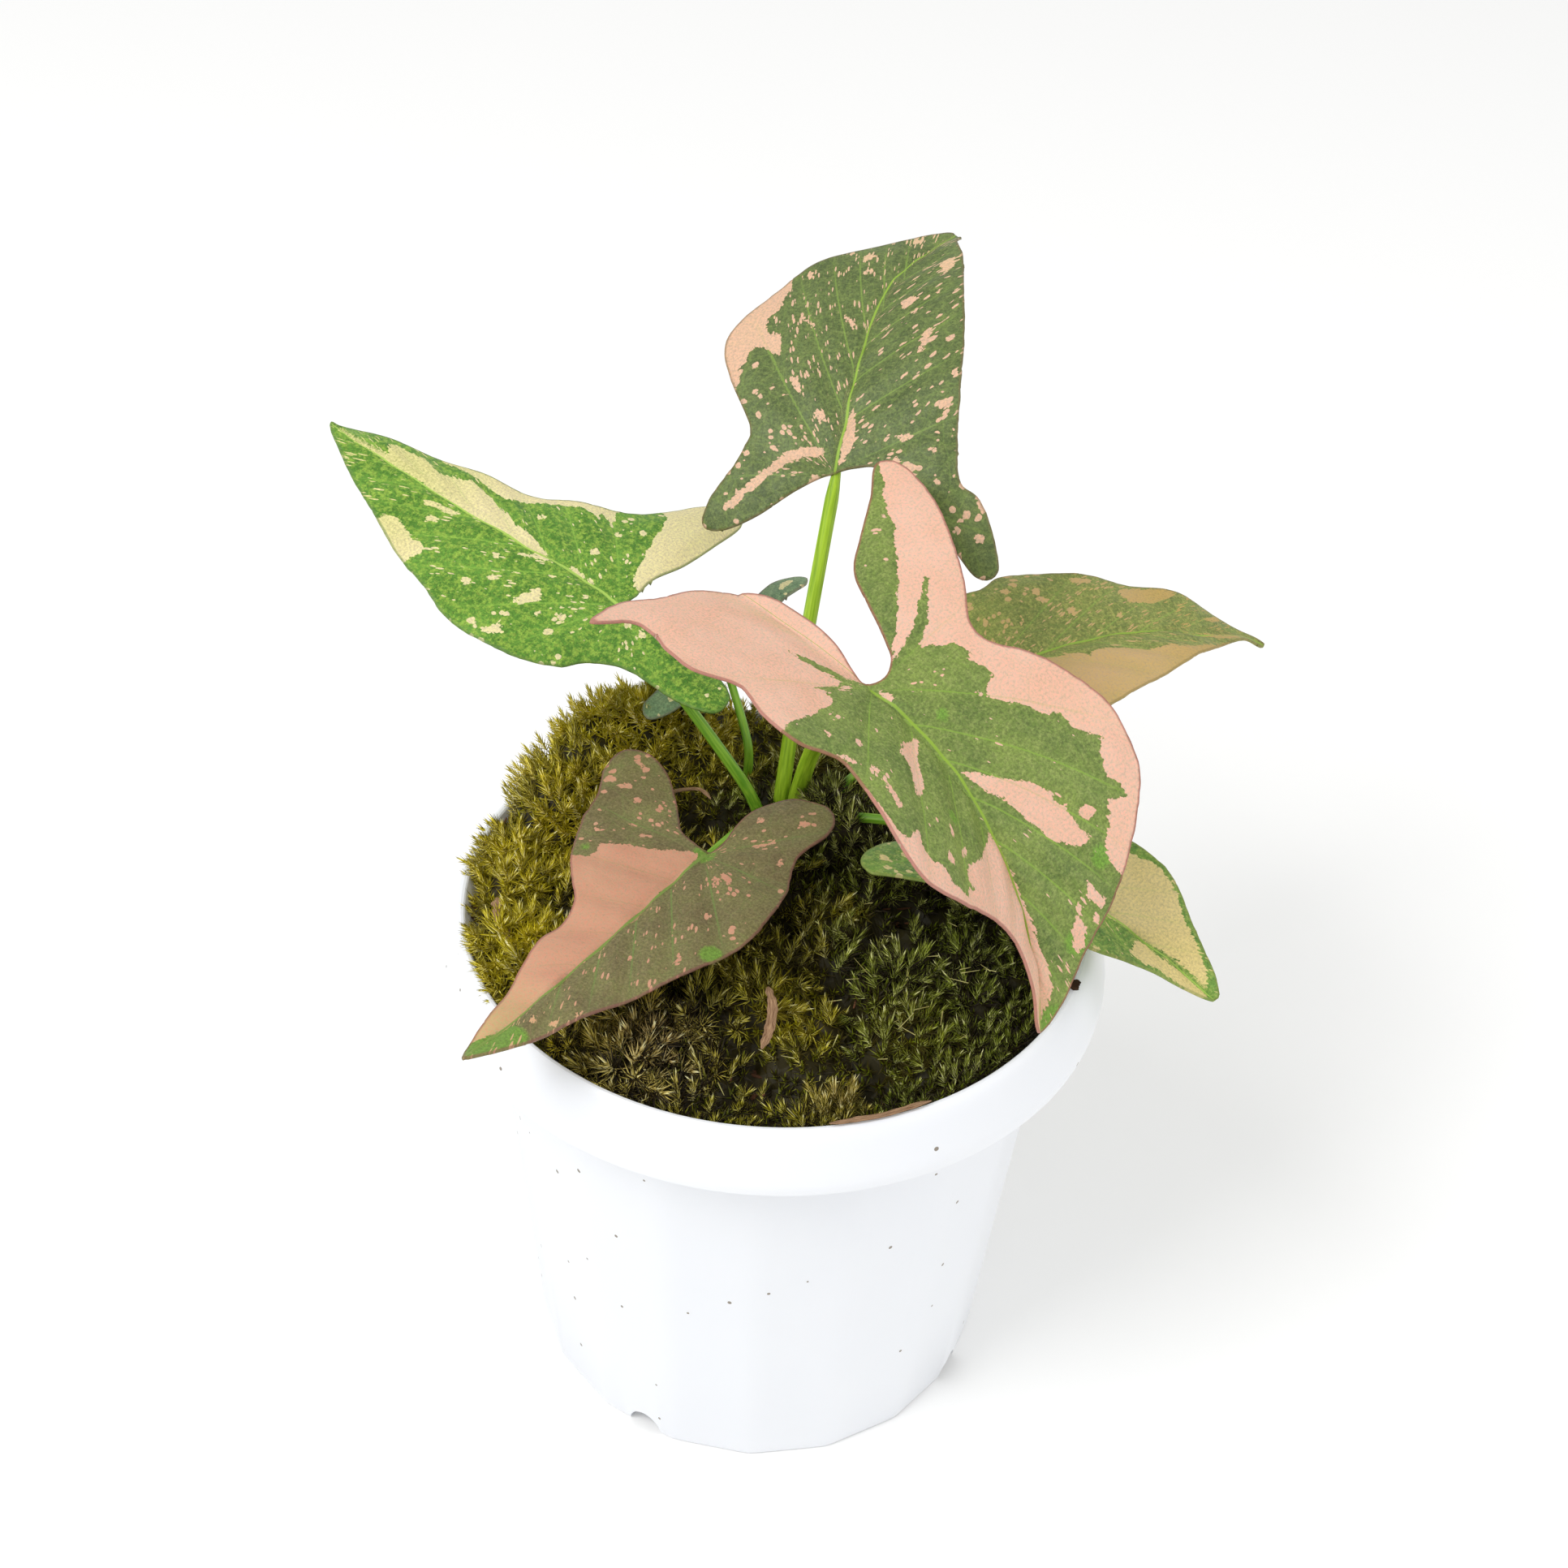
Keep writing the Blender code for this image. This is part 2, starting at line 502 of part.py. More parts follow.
def build_blade(name, leaf):
    bm = bmesh.new()
    outline = smooth_outline(leaf, OUTLINE_STEP)
    bm.faces.new([bm.verts.new((point.x, point.y, 0.0)) for point in outline])
    for axis, normal in ((0, (1, 0, 0)), (1, (0, 1, 0))):
        places = [point[axis] for point in outline]
        for place in cut_lines(min(places) + 1.0, max(places) - 1.0, BLADE_CELL):
            line = (place, 0, 0) if axis == 0 else (0, place, 0)
            bmesh.ops.bisect_plane(bm, geom=bm.verts[:] + bm.edges[:] + bm.faces[:], dist=0.05,
                                   plane_co=line, plane_no=normal)
    bmesh.ops.remove_doubles(bm, verts=bm.verts, dist=0.4)
    bmesh.ops.triangulate(bm, faces=bm.faces)
    axes = leaf_axes(leaf)
    for vert in bm.verts:
        vert.co = blade_point(leaf, axes, vert.co.x, vert.co.y)
    bm.normal_update()
    if sum((face.normal * face.calc_area() for face in bm.faces), Vector()).dot(axes[2]) < 0.0:
        bmesh.ops.reverse_faces(bm, faces=bm.faces)
    blade = add_object("leaf_" + name, bm, principled("leaf_" + name + "_blade", leaf["colour"], 0.45))
    shell = blade.modifiers.new("thickness", "SOLIDIFY")
    shell.thickness = mm(BLADE_THICKNESS)
    shell.offset = 0.0
    smooth(blade, 60.0)


def spline_point(points, share):
    """Point of a smooth curve through the given points, with share from 0 to 1."""
    spans = len(points) - 1
    place = min(share * spans, spans - 1e-6)
    index = int(place)
    u = place - index
    start, end = points[index], points[index + 1]
    before = points[index - 1] if index > 0 else 2.0 * start - end
    after = points[index + 2] if index + 2 <= spans else 2.0 * end - start
    return 0.5 * (2.0 * start + (end - before) * u
                  + (2.0 * before - 5.0 * start + 4.0 * end - after) * u * u
                  + (3.0 * start - before - 3.0 * end + after) * u ** 3)


def petiole_path(leaf, crown_top):
    """From the crown's top to just under the midrib where the blade begins."""
    across, along, up = leaf_axes(leaf)
    junction = Vector(leaf["junction"])
    last = Vector(leaf["arch"][-1])
    under = junction + along * 1.5
    aim = (under - last).normalized()
    slant = math.sqrt(max(0.0, 1.0 - aim.dot(up) ** 2))
    clearance = BLADE_THICKNESS / 2.0 + GAP + 0.15 + PETIOLE_TIP_RADIUS * slant
    start = Vector((leaf["foot"][0], leaf["foot"][1], crown_top + GAP))
    return [start] + [Vector(point) for point in leaf["arch"]] + [under - up * clearance]


def build_petiole(name, leaf, crown_top):
    points = petiole_path(leaf, crown_top)
    bm = bmesh.new()
    rings = []
    for index in range(PETIOLE_RINGS):
        share = index / (PETIOLE_RINGS - 1)
        centre = spline_point(points, share)
        ahead = spline_point(points, min(1.0, share + 0.02)) - spline_point(points, max(0.0, share - 0.02))
        direction = Vector((0, 0, 1)) if index == 0 else ahead.normalized()
        right = direction.cross(Vector((0, 1, 0)).cross(direction)).normalized()
        front = direction.cross(right)
        radius = leaf["stalk"] * (1.0 - 0.18 * share)
        if index == PETIOLE_RINGS - 1:
            radius = PETIOLE_TIP_RADIUS
        ring = []
        for corner in range(PETIOLE_SIDES):
            turn = 2.0 * math.pi * corner / PETIOLE_SIDES
            point = centre + (right * math.cos(turn) + front * math.sin(turn)) * radius
            ring.append(bm.verts.new(point * 0.001))
        rings.append(ring)
    cap(bm, rings[0], False)
    for lower, upper in zip(rings, rings[1:]):
        bridge(bm, lower, upper)
    cap(bm, rings[-1], True)
    bmesh.ops.recalc_face_normals(bm, faces=bm.faces)
    petiole = add_object("petiole_" + name, bm, principled("petiole_green", (0.25, 0.42, 0.05), 0.45))
    smooth(petiole, 50.0)


def build_strip(name, points, half_width, thickness, colour):
    """Flat curved strip of plant litter along a line of points at its underside."""
    bm = bmesh.new()
    sections = []
    for index, point in enumerate(points):
        ahead = points[min(index + 1, len(points) - 1)] - points[max(index - 1, 0)]
        side = Vector((-ahead.y, ahead.x, 0.0)).normalized() * half_width
        taper = 0.5 if index in (0, len(points) - 1) else 1.0
        low_left, low_right = point + side * taper, point - side * taper
        lift = Vector((0.0, 0.0, thickness))
        sections.append([bm.verts.new(corner * 0.001) for corner in
                         (low_left, low_right, low_right + lift, low_left + lift)])
    cap(bm, sections[0], False)
    for lower, upper in zip(sections, sections[1:]):
        bridge(bm, lower, upper)
    cap(bm, sections[-1], True)
    bmesh.ops.recalc_face_normals(bm, faces=bm.faces)
    add_object(name, bm, principled(name + "_brown", colour, 0.85))


def build_litter():
    for name, plan, half_width, thickness, lift in LITTER:
        points = [Vector((x, y, moss_height(x, y) + lift)) for x, y in plan]
        build_strip(name, points, half_width, thickness, (0.16, 0.09, 0.05))
    rim_level = POT_HEIGHT + GAP
    build_strip("rim_twig", [Vector((x, y, rim_level)) for x, y in RIM_TWIG], 0.6, 0.9, (0.18, 0.09, 0.05))
    build_strip("rim_crumb", [Vector((x, y, rim_level)) for x, y in RIM_CRUMB], 0.9, 0.8, (0.05, 0.03, 0.02))


clear_scene()
build_pot()
build_potting_mix()
build_crown("stem_crown", CROWN_CENTRE, CROWN_RADIUS, CROWN_TOP)
build_crown("back_stem_crown", BACK_CROWN_CENTRE, BACK_CROWN_RADIUS, BACK_CROWN_TOP)
build_moss()
for leaf_name, leaf_shape in LEAVES.items():
    build_blade(leaf_name, leaf_shape)
    build_petiole(leaf_name, leaf_shape, BACK_CROWN_TOP if leaf_name == "back" else CROWN_TOP)
build_litter()
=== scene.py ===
# Variegated arrowhead plant in a white plastic pot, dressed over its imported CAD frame.
# Millimetres are used in the sections below and turned to metres where a mesh is finished.

import math
import random

import bmesh
import bpy
import numpy as np
from mathutils import Matrix, Vector, noise


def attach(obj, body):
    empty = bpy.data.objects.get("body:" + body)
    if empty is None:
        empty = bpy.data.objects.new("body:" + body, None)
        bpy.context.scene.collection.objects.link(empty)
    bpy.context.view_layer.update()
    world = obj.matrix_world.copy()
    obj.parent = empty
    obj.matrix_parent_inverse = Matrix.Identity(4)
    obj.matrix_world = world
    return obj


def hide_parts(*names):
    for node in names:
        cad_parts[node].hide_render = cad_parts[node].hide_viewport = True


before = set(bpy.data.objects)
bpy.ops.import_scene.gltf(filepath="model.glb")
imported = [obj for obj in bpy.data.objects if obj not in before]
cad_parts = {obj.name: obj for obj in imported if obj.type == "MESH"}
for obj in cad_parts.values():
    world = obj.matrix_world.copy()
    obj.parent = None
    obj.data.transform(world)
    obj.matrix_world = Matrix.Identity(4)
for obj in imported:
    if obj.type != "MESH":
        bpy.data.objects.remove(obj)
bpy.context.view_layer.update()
scene = bpy.context.scene


# Camera and studio: a long lens looks down on the plant from the front at about 39 degrees.
# A large softbox to the upper left, a weaker one to the right and an even white surround
# light a pale, matt floor, as on a catalogue table.
camera_data = bpy.data.cameras.new("camera")
camera_data.sensor_width = 36.0
camera_data.lens = 61.73
camera_data.clip_start = 0.01
camera = bpy.data.objects.new("camera", camera_data)
gaze = Vector((0.0011, 0.7760, -0.6307)).normalized()
sideways = Vector((0.9988, 0.0295, 0.0380))
sideways = (sideways - gaze * sideways.dot(gaze)).normalized()
upwards = sideways.cross(gaze)
turned_camera = Matrix((sideways, upwards, -gaze)).transposed()
camera_place = Matrix.Translation((0.0, -0.3893, 0.4566))
camera.matrix_world = camera_place @ turned_camera.to_4x4()
scene.collection.objects.link(camera)
scene.camera = camera
scene.view_settings.view_transform = "Standard"

world = bpy.data.worlds.new("white_surround")
world.use_nodes = True
surround = world.node_tree.nodes["Background"]
surround.inputs["Color"].default_value = (1.0, 1.0, 1.0, 1.0)
surround.inputs["Strength"].default_value = 0.74
scene.world = world

for label, place, width, power in (("softbox_key", (-0.75, -0.55, 1.25), 0.75, 11.0),
                                   ("softbox_fill", (1.1, -0.3, 0.9), 0.9, 3.6)):
    lamp = bpy.data.lights.new(label, "AREA")
    lamp.size = width
    lamp.energy = power
    softbox = bpy.data.objects.new(label, lamp)
    softbox.location = place
    towards_plant = Vector((0.0, 0.0, 0.1)) - Vector(place)
    softbox.rotation_euler = towards_plant.to_track_quat("-Z", "Y").to_euler()
    scene.collection.objects.link(softbox)


def linear(code):
    """Linear colour with full alpha from an sRGB hex value."""
    shares = [int(code[i:i + 2], 16) / 255.0 for i in (1, 3, 5)]
    return [c / 12.92 if c <= 0.04045 else ((c + 0.055) / 1.055) ** 2.4 for c in shares] + [1.0]


def set_inputs(tree, node, inputs):
    """Fills a node's inputs: a plain value goes on its socket; a socket, or a node by its first
    output in use, is linked."""
    for place, value in inputs.items():
        if isinstance(value, bpy.types.Node):
            value = next(output for output in value.outputs if output.enabled)
        if isinstance(value, bpy.types.NodeSocket):
            tree.links.new(value, node.inputs[place])
        else:
            node.inputs[place].default_value = value


def add_node(tree, kind, inputs=None, **settings):
    """Adds a shader node with its settings and links."""
    node = tree.nodes.new("ShaderNode" + kind)
    for name, value in settings.items():
        setattr(node, name, value)
    set_inputs(tree, node, inputs or {})
    return node


def new_finish(name, roughness, specular):
    """A new material, with its shader and its node tree."""
    material = bpy.data.materials.new(name)
    material.use_nodes = True
    tree = material.node_tree
    shader = tree.nodes["Principled BSDF"]
    set_inputs(tree, shader, {"Roughness": roughness, "Specular IOR Level": specular})
    return material, shader, tree


MILLIMETRE = 0.001


def add_piece(name, builder, materials, soft_angle=None):
    """Turns a bmesh in millimetres into an object in metres at the origin, shaded smooth except
    over edges sharper than soft_angle degrees."""
    bmesh.ops.scale(builder, vec=(MILLIMETRE, MILLIMETRE, MILLIMETRE), verts=builder.verts)
    mesh = bpy.data.meshes.new(name)
    builder.to_mesh(mesh)
    builder.free()
    piece = bpy.data.objects.new(name, mesh)
    for material in materials:
        mesh.materials.append(material)
    if soft_angle is not None:
        mesh.shade_smooth()
        mesh.set_sharp_from_angle(angle=math.radians(soft_angle))
    scene.collection.objects.link(piece)
    return piece


# Matt white painted table top: evenly pale, with no gloss that would mirror the pot.
floor_finish, floor_shader, tree = new_finish("matt_white_table", 0.9, 0.1)
floor_shader.inputs["Base Color"].default_value = linear("#fdfdfc")
floor_builder = bmesh.new()
bmesh.ops.create_grid(floor_builder, x_segments=2, y_segments=2, size=4000.0)
floor = add_piece("table_top", floor_builder, [floor_finish])


# Pot: one injection-moulded polypropylene shell with a thin tapered wall of 18 soft facets,
# a flared collar round the mouth, a recessed base with six drain holes and four arched
# notches through the foot ring.
FOOT_RADIUS = 47.0
NECK_RADIUS = 55.7
NECK_HEIGHT = 96.0
COLLAR_RADIUS = 58.0
COLLAR_HEIGHT = 99.5
FACETS = 18
FACET_PRESS = 0.0152
CORNER_PRESS = 0.0024
DRAIN_HOLES, DRAIN_RADIUS, DRAIN_RING = 6, 3.5, 27.0
NOTCHES, NOTCH_RADIUS, NOTCH_HEIGHT, NOTCH_BEARING = 4, 3.75, 4.4, -28.0
# Section of the wall as (radius, height), from the drain floor out, up the wall, over the rim and back
wall_line = [
    (14.0, 0.0), (14.6, 2.6), (15.4, 3.0), (40.8, 3.0), (41.6, 2.6), (42.0, 0.2), (42.4, 0.0),
    (45.9, 0.0), (46.7, 0.25), (47.0, 1.0), (49.9, 33.0), (52.8, 64.0), (54.6, 84.0), (55.7, 96.0),
    (56.2, 99.0), (57.7, 104.0), (60.4, 109.4), (61.7, 107.8), (63.0, 103.0), (63.7, 98.6),
    (64.3, 98.25), (64.8, 98.5), (65.0, 99.8), (64.9, 101.0), (64.4, 102.6), (63.7, 104.9),
    (63.0, 107.0), (62.4, 108.6), (61.7, 109.9), (61.0, 110.7), (60.5, 111.0), (60.0, 110.95),
    (59.7, 110.7), (59.35, 109.8), (58.0, 106.5), (56.6, 103.0), (54.4, 96.0), (52.5, 75.0),
    (49.1, 38.0), (45.7, 6.0), (45.3, 5.0), (44.5, 4.6),
]
pot_builder = bmesh.new()
line = [pot_builder.verts.new((radius, 0.0, height)) for radius, height in wall_line]
for start, end in zip(line, line[1:]):
    pot_builder.edges.new((start, end))
bmesh.ops.spin(pot_builder, geom=pot_builder.verts[:] + pot_builder.edges[:], cent=(0, 0, 0),
               axis=(0, 0, 1), dvec=(0, 0, 0), angle=math.tau, steps=8 * FACETS, use_merge=True,
               use_duplicate=False)
bmesh.ops.remove_doubles(pot_builder, verts=pot_builder.verts, dist=0.001)
bmesh.ops.holes_fill(pot_builder, edges=pot_builder.edges, sides=0)
bmesh.ops.recalc_face_normals(pot_builder, faces=pot_builder.faces)
# Each facet is pressed in towards its middle, fading out below the collar
half_facet = math.pi / FACETS
for vert in pot_builder.verts:
    x, y, z = vert.co
    radius = math.hypot(x, y)
    outside = radius > FOOT_RADIUS - 1.4 + (NECK_RADIUS - FOOT_RADIUS) * z / NECK_HEIGHT
    if outside and radius < COLLAR_RADIUS and z < COLLAR_HEIGHT:
        off_centre = abs((math.atan2(y, x) + half_facet) % (2 * half_facet) - half_facet) / half_facet
        share = min(1.0, (COLLAR_HEIGHT - z) / 4.0)
        press = 1.0 - share * (FACET_PRESS * (1.0 - off_centre ** 2) + CORNER_PRESS * off_centre ** 8)
        vert.co = (x * press, y * press, z)
# Injection-moulded white polypropylene: satin and faintly translucent, so its shadows stay soft.
# Handling leaves a few grey specks, and watering leaves brown dust along the inner rim.
pot_finish, pot_shader, tree = new_finish("white_polypropylene", 0.36, 0.45)
place = add_node(tree, "TexCoord").outputs["Object"]
split = add_node(tree, "SeparateXYZ", {0: place})
waves = add_node(tree, "TexNoise", {"Vector": place, "Scale": 22.0, "Detail": 2.0})
plastic = add_node(tree, "Mix", {0: waves, 6: linear("#e9ebf0"), 7: linear("#eef0f3")}, data_type="RGBA")
# Specks: one cell in six of an 8 mm scatter holds a speck of 0.3 to 1 mm
angle = add_node(tree, "Math", {0: split.outputs[1], 1: split.outputs[0]}, operation="ARCTAN2")
girth_way = add_node(tree, "Math", {0: angle, 1: 0.055}, operation="MULTIPLY")
wrapped = add_node(tree, "CombineXYZ", {0: girth_way, 1: split.outputs[2]})
cells = add_node(tree, "TexVoronoi", {"Vector": wrapped, "Scale": 120.0}, voronoi_dimensions="2D")
chance = add_node(tree, "SeparateColor", {0: cells.outputs["Color"]})
reach = add_node(tree, "MapRange", {0: chance, 1: 0.84, 2: 1.0, 3: 0.02, 4: 0.06})
likely = add_node(tree, "Math", {0: chance, 1: 0.84}, operation="GREATER_THAN")
close = add_node(tree, "Math", {0: cells.outputs["Distance"], 1: reach}, operation="LESS_THAN")
near = add_node(tree, "Math", {0: close, 1: likely}, operation="MULTIPLY")
specked = add_node(tree, "Mix", {0: near, 6: plastic, 7: linear("#8d8478")}, data_type="RGBA")
# Dust: brown smears in the last few millimetres inside the rim, thickest at the front
grime = add_node(tree, "TexNoise", {"Vector": place, "Scale": 160.0, "Detail": 6.0, "Roughness": 0.7})
front = add_node(tree, "MapRange", {0: split.outputs[1], 1: -0.02, 2: -0.056, 3: -0.10, 4: 0.03})
flat_radius = add_node(tree, "VectorMath", {0: place, 1: (1.0, 1.0, 0.0)}, operation="MULTIPLY")
radius_out = add_node(tree, "VectorMath", {0: flat_radius}, operation="LENGTH")
inside = add_node(tree, "MapRange", {0: radius_out, 1: 0.0612, 2: 0.0590, 3: -0.2, 4: 0.06})
level = add_node(tree, "MapRange", {0: split.outputs[2], 1: 0.0990, 2: 0.1020, 3: -0.9, 4: 0.0})
amount = grime
for more in (front, inside, level):
    amount = add_node(tree, "Math", {0: amount, 1: more}, operation="ADD")
dust = add_node(tree, "MapRange", {0: amount, 1: 0.55, 2: 0.78, 3: 0.0, 4: 0.6})
dusty = add_node(tree, "Mix", {0: dust, 6: specked, 7: linear("#8a6f4e")}, data_type="RGBA")
# Mould flow leaves the satin wall very slightly uneven over 2 mm
flow = add_node(tree, "TexNoise", {"Vector": place, "Scale": 420.0, "Detail": 3.0})
relief = add_node(tree, "Bump", {"Height": flow, "Strength": 0.12, "Distance": 0.0002})
set_inputs(tree, pot_shader, {"Base Color": dusty, "Normal": relief, "Subsurface Weight": 0.12,
                              "Subsurface Radius": (0.004, 0.0036, 0.0032), "Subsurface Scale": 1.0})
pot = add_piece("pot_shell", pot_builder, [pot_finish], 28.0)

cutters = []
for index in range(DRAIN_HOLES):
    turn = math.tau * index / DRAIN_HOLES
    middle = (DRAIN_RING * math.cos(turn), DRAIN_RING * math.sin(turn), 4.0)
    drill = bmesh.new()
    bmesh.ops.create_cone(drill, cap_ends=True, segments=32, radius1=DRAIN_RADIUS, radius2=DRAIN_RADIUS,
                          depth=9.0, matrix=Matrix.Translation(middle))
    cutters.append(add_piece("drain_drill", drill, [pot_finish]))
for index in range(NOTCHES):
    turn = math.radians(NOTCH_BEARING + 360.0 / NOTCHES * index)
    punch = bmesh.new()
    bmesh.ops.create_cone(punch, cap_ends=True, segments=48, radius1=NOTCH_RADIUS, radius2=NOTCH_RADIUS,
                          depth=16.0)
    bmesh.ops.scale(punch, vec=(1.0, NOTCH_HEIGHT / NOTCH_RADIUS, 1.0), verts=punch.verts)
    bmesh.ops.rotate(punch, cent=(0, 0, 0), matrix=Matrix.Rotation(math.pi / 2, 3, "X"), verts=punch.verts)
    bmesh.ops.translate(punch, vec=(0.0, -FOOT_RADIUS, 0.0), verts=punch.verts)
    bmesh.ops.rotate(punch, cent=(0, 0, 0), matrix=Matrix.Rotation(turn, 3, "Z"), verts=punch.verts)
    cutters.append(add_piece("notch_punch", punch, [pot_finish]))
for cutter in cutters:
    cut = pot.modifiers.new("cut", "BOOLEAN")
    cut.operation = "DIFFERENCE"
    cut.object = cutter
cut_mesh = bpy.data.meshes.new_from_object(pot.evaluated_get(bpy.context.evaluated_depsgraph_get()))
pot.modifiers.clear()
pot.data = cut_mesh
for cutter in cutters:
    bpy.data.objects.remove(cutter)
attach(pot, "root")
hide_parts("pot")


# Potting mix: coir and composted bark packed into the pot under the moss. Only its dark
# crumbly top shows, between the moss cushions and round the stems.
# Wet coir and bark: near black-brown, fully matt, broken into crumbs of about 2 mm.
mix_finish, mix_shader, tree = new_finish("coir_potting_mix", 0.95, 0.2)
place = add_node(tree, "TexCoord").outputs["Object"]
crumbs = add_node(tree, "TexVoronoi", {"Vector": place, "Scale": 480.0})
fibre = add_node(tree, "TexNoise", {"Vector": place, "Scale": 900.0, "Detail": 5.0})
soil = add_node(tree, "Mix", {0: fibre, 6: linear("#150d07"), 7: linear("#4a3320")}, data_type="RGBA")
relief = add_node(tree, "Bump", {"Height": crumbs.outputs["Distance"], "Strength": 0.9, "Distance": 0.0012})
set_inputs(tree, mix_shader, {"Base Color": soil, "Normal": relief})
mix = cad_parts["potting_mix"]
for material_slot in mix.material_slots:
    material_slot.material = mix_finish


# Moss carpet: living cushion moss laid over the mix right up to the pot wall, in seven
# cushions round the stems. Each cushion is a dark springy mat with hundreds of leafy shoots
# that gather in tufts, lean out from each tuft's middle and leave dark gaps between tufts.
CROWN = Vector((1.5, 25.0))
CLEARING = 14.5
# The mats end just inside the wall, and beside it their tops stay within the thick collar
MAT_REACH, MAT_SHELF, MAT_BOTTOM = 57.2, 105.2, 97.4
FOOT_REACH = 55.6
FLANK_START, FLANK_REACH, FLANK_FOOT, FLANK_STEP = 54.0, 57.4, 106.6, 1.9
RIDGE_START = Vector((-47.0, 30.0))
RIDGE_END = Vector((-22.0, 53.0))
TAN_DOME, TAN_REACH = Vector((-21.0, -41.0)), 12.25
TUFTS, TUFT_REACH, TUFT_SPACING = 190, 56.0, 8.4
UPPER_SPACING = 2.4
UNDER_SPACING = 2.3
# Domes the moss grew in before it was laid: (x, y, radius, height)
DOMES = [(-21, -41, 12.5, 4.2), (31, -27, 16, 4.4), (-47, -19, 12, 4.2), (-6, -23, 11, 3.2), (-47, 4, 10, 3.4),
         (-34, 38, 12, 3.6), (-21, 47, 9, 3.2), (-42, 19, 8.5, 3.0), (10, -51, 6, 2.6), (44, -3, 12, 3.4),
         (-1, -53, 5, 1.8), (13, -10, 8, 3.2), (34, 30, 14, 3.2), (10, 48, 12, 3.0), (-27, -22, 9, 2.8),
         (-20, 2, 11, 3.0), (20, 12, 11, 4.4), (12, 20.5, 9.5, 10.6), (3, 12, 7, 3.0)]
DOME_SINK = 1.4
# Places where the moss stays open and dark: (x, y, radius)
DARK_GAPS = [(-3.5, -37, 3.2), (-2.5, -42, 3.6), (0.5, -47, 3.0), (-6, -48, 2.6), (-35, -31, 2.6),
             (-54, 22, 2.6), (13, -24, 3.2), (20, -8, 3.8), (-12, 12, 3.4), (-18, 20, 3.0), (-34, -6, 2.6),
             (24, 1, 3.2), (-30, -8, 2.8), (30, -11, 2.6), (19, -43, 2.6), (3, -9, 2.8), (-36, 11, 2.6)]
# Tones laid over the olive green: (x, y, radius, straw, lime, gloom)
MOSS_TONES = [(-21, -41, 13, 1.0, 0.0, 0.0), (-30, -36, 8, 0.6, 0.2, 0.0), (13, -49, 6, 0.7, 0.2, 0.0),
              (-46, -20, 14, 0.1, 1.0, 0.0), (-50, 5, 13, 0.2, 0.9, 0.0), (-40, 17, 13, 0.3, 0.8, 0.0),
              (-34, 41, 20, 0.4, 1.0, 0.0), (-18, 49, 14, 0.4, 1.0, 0.0), (-7, -22, 6, 0.3, 0.45, 0.0),
              (4, -29, 9, 0.2, 0.5, 0.0), (-52, 30, 10, 0.4, 0.9, 0.0), (13, -5, 5, 0.5, 0.5, 0.0),
              (19, -7, 6, 0.6, 0.0, 0.5), (36, -24, 17, 0.0, 0.0, 0.55), (26, -34, 10, 0.0, 0.15, 0.35),
              (43, -8, 12, 0.0, 0.0, 0.75), (20, 26, 20, 0.3, 0.0, 0.9), (42, 18, 18, 0.1, 0.0, 0.7),
              (6, 46, 14, 0.35, 0.2, 0.6), (-14, 16, 10, 0.25, 0.1, 0.5), (2, -12, 11, 0.15, 0.1, 0.25)]
dice = random.Random(41)


def carpet_height(x, y):
    """Height of the moss over the pot: a low crown, tilted a little and banked up at the back left."""
    reach = math.hypot(x, y) / NECK_RADIUS
    here, span = Vector((x, y)), RIDGE_END - RIDGE_START
    share = min(max((here - RIDGE_START).dot(span) / span.length_squared, 0.0), 1.0)
    offset = (here - RIDGE_START - span * share).length
    bank = 10.0 * math.exp(-0.5 * (offset / 8.5) ** 2)
    return 108.8 + 8.5 * (1.0 - reach * reach) - 0.05 * x + 0.05 * y + bank


def reach_to_wall(bearing):
    """Distance from the stems to the end of the mats at the pot wall, along a bearing."""
    along = CROWN.x * math.cos(bearing) + CROWN.y * math.sin(bearing)
    return -along + math.sqrt(along * along - CROWN.length_squared + MAT_REACH * MAT_REACH)


def dome_rise(x, y):
    """Rise of the moss on its domes, which fall off steeply into the dark creases between them."""
    return max(height * math.sqrt(max(0.0, 1.0 - ((x - dx) ** 2 + (y - dy) ** 2) / (radius * radius)))
               for dx, dy, radius, height in DOMES) - DOME_SINK


def cushion_height(across, out, x, y, bulge):
    """Height of a cushion's shoot tips, across 0 to 1 over its bearings and out 0 to 1 from the stems."""
    edge = 1.0 - (2.0 * across - 1.0) ** 4
    rise = bulge * edge * math.sin(math.pi * min(1.0, 0.15 + 0.85 * out))
    left_bank = 3.8 * max(0.0, (math.hypot(x, y) - 44.0) / 13.0) if x < 0.0 else 0.0
    return carpet_height(x, y) + rise + dome_rise(x, y) + left_bank - 0.4 * out ** 6


tuft_middles = []
while len(tuft_middles) < TUFTS:
    spot = Vector((dice.uniform(-TUFT_REACH, TUFT_REACH), dice.uniform(-TUFT_REACH, TUFT_REACH)))
    room = TUFT_SPACING * (0.72 + 0.4 * noise.noise(Vector((spot.x * 0.05, spot.y * 0.05, 7.0))))
    if spot.length < TUFT_REACH and all((spot - other).length > room for other in tuft_middles):
        tuft_middles.append(spot)
    elif dice.random() < 0.0004:
        break


def nearest_tuft(x, y):
    """Offset from the nearest tuft's middle and the share of the way to its edge."""
    here = Vector((x, y))
    middle = min(tuft_middles, key=lambda other: (here - other).length_squared)
    offset = here - middle
    return offset, min(1.0, offset.length / (TUFT_SPACING * 0.56))


def gap_depth(x, y):
    """How far a place lies in one of the open dark gaps, 0 to 1."""
    return max(math.exp(-((x - gx) ** 2 + (y - gy) ** 2) / (radius * radius))
               for gx, gy, radius in DARK_GAPS)


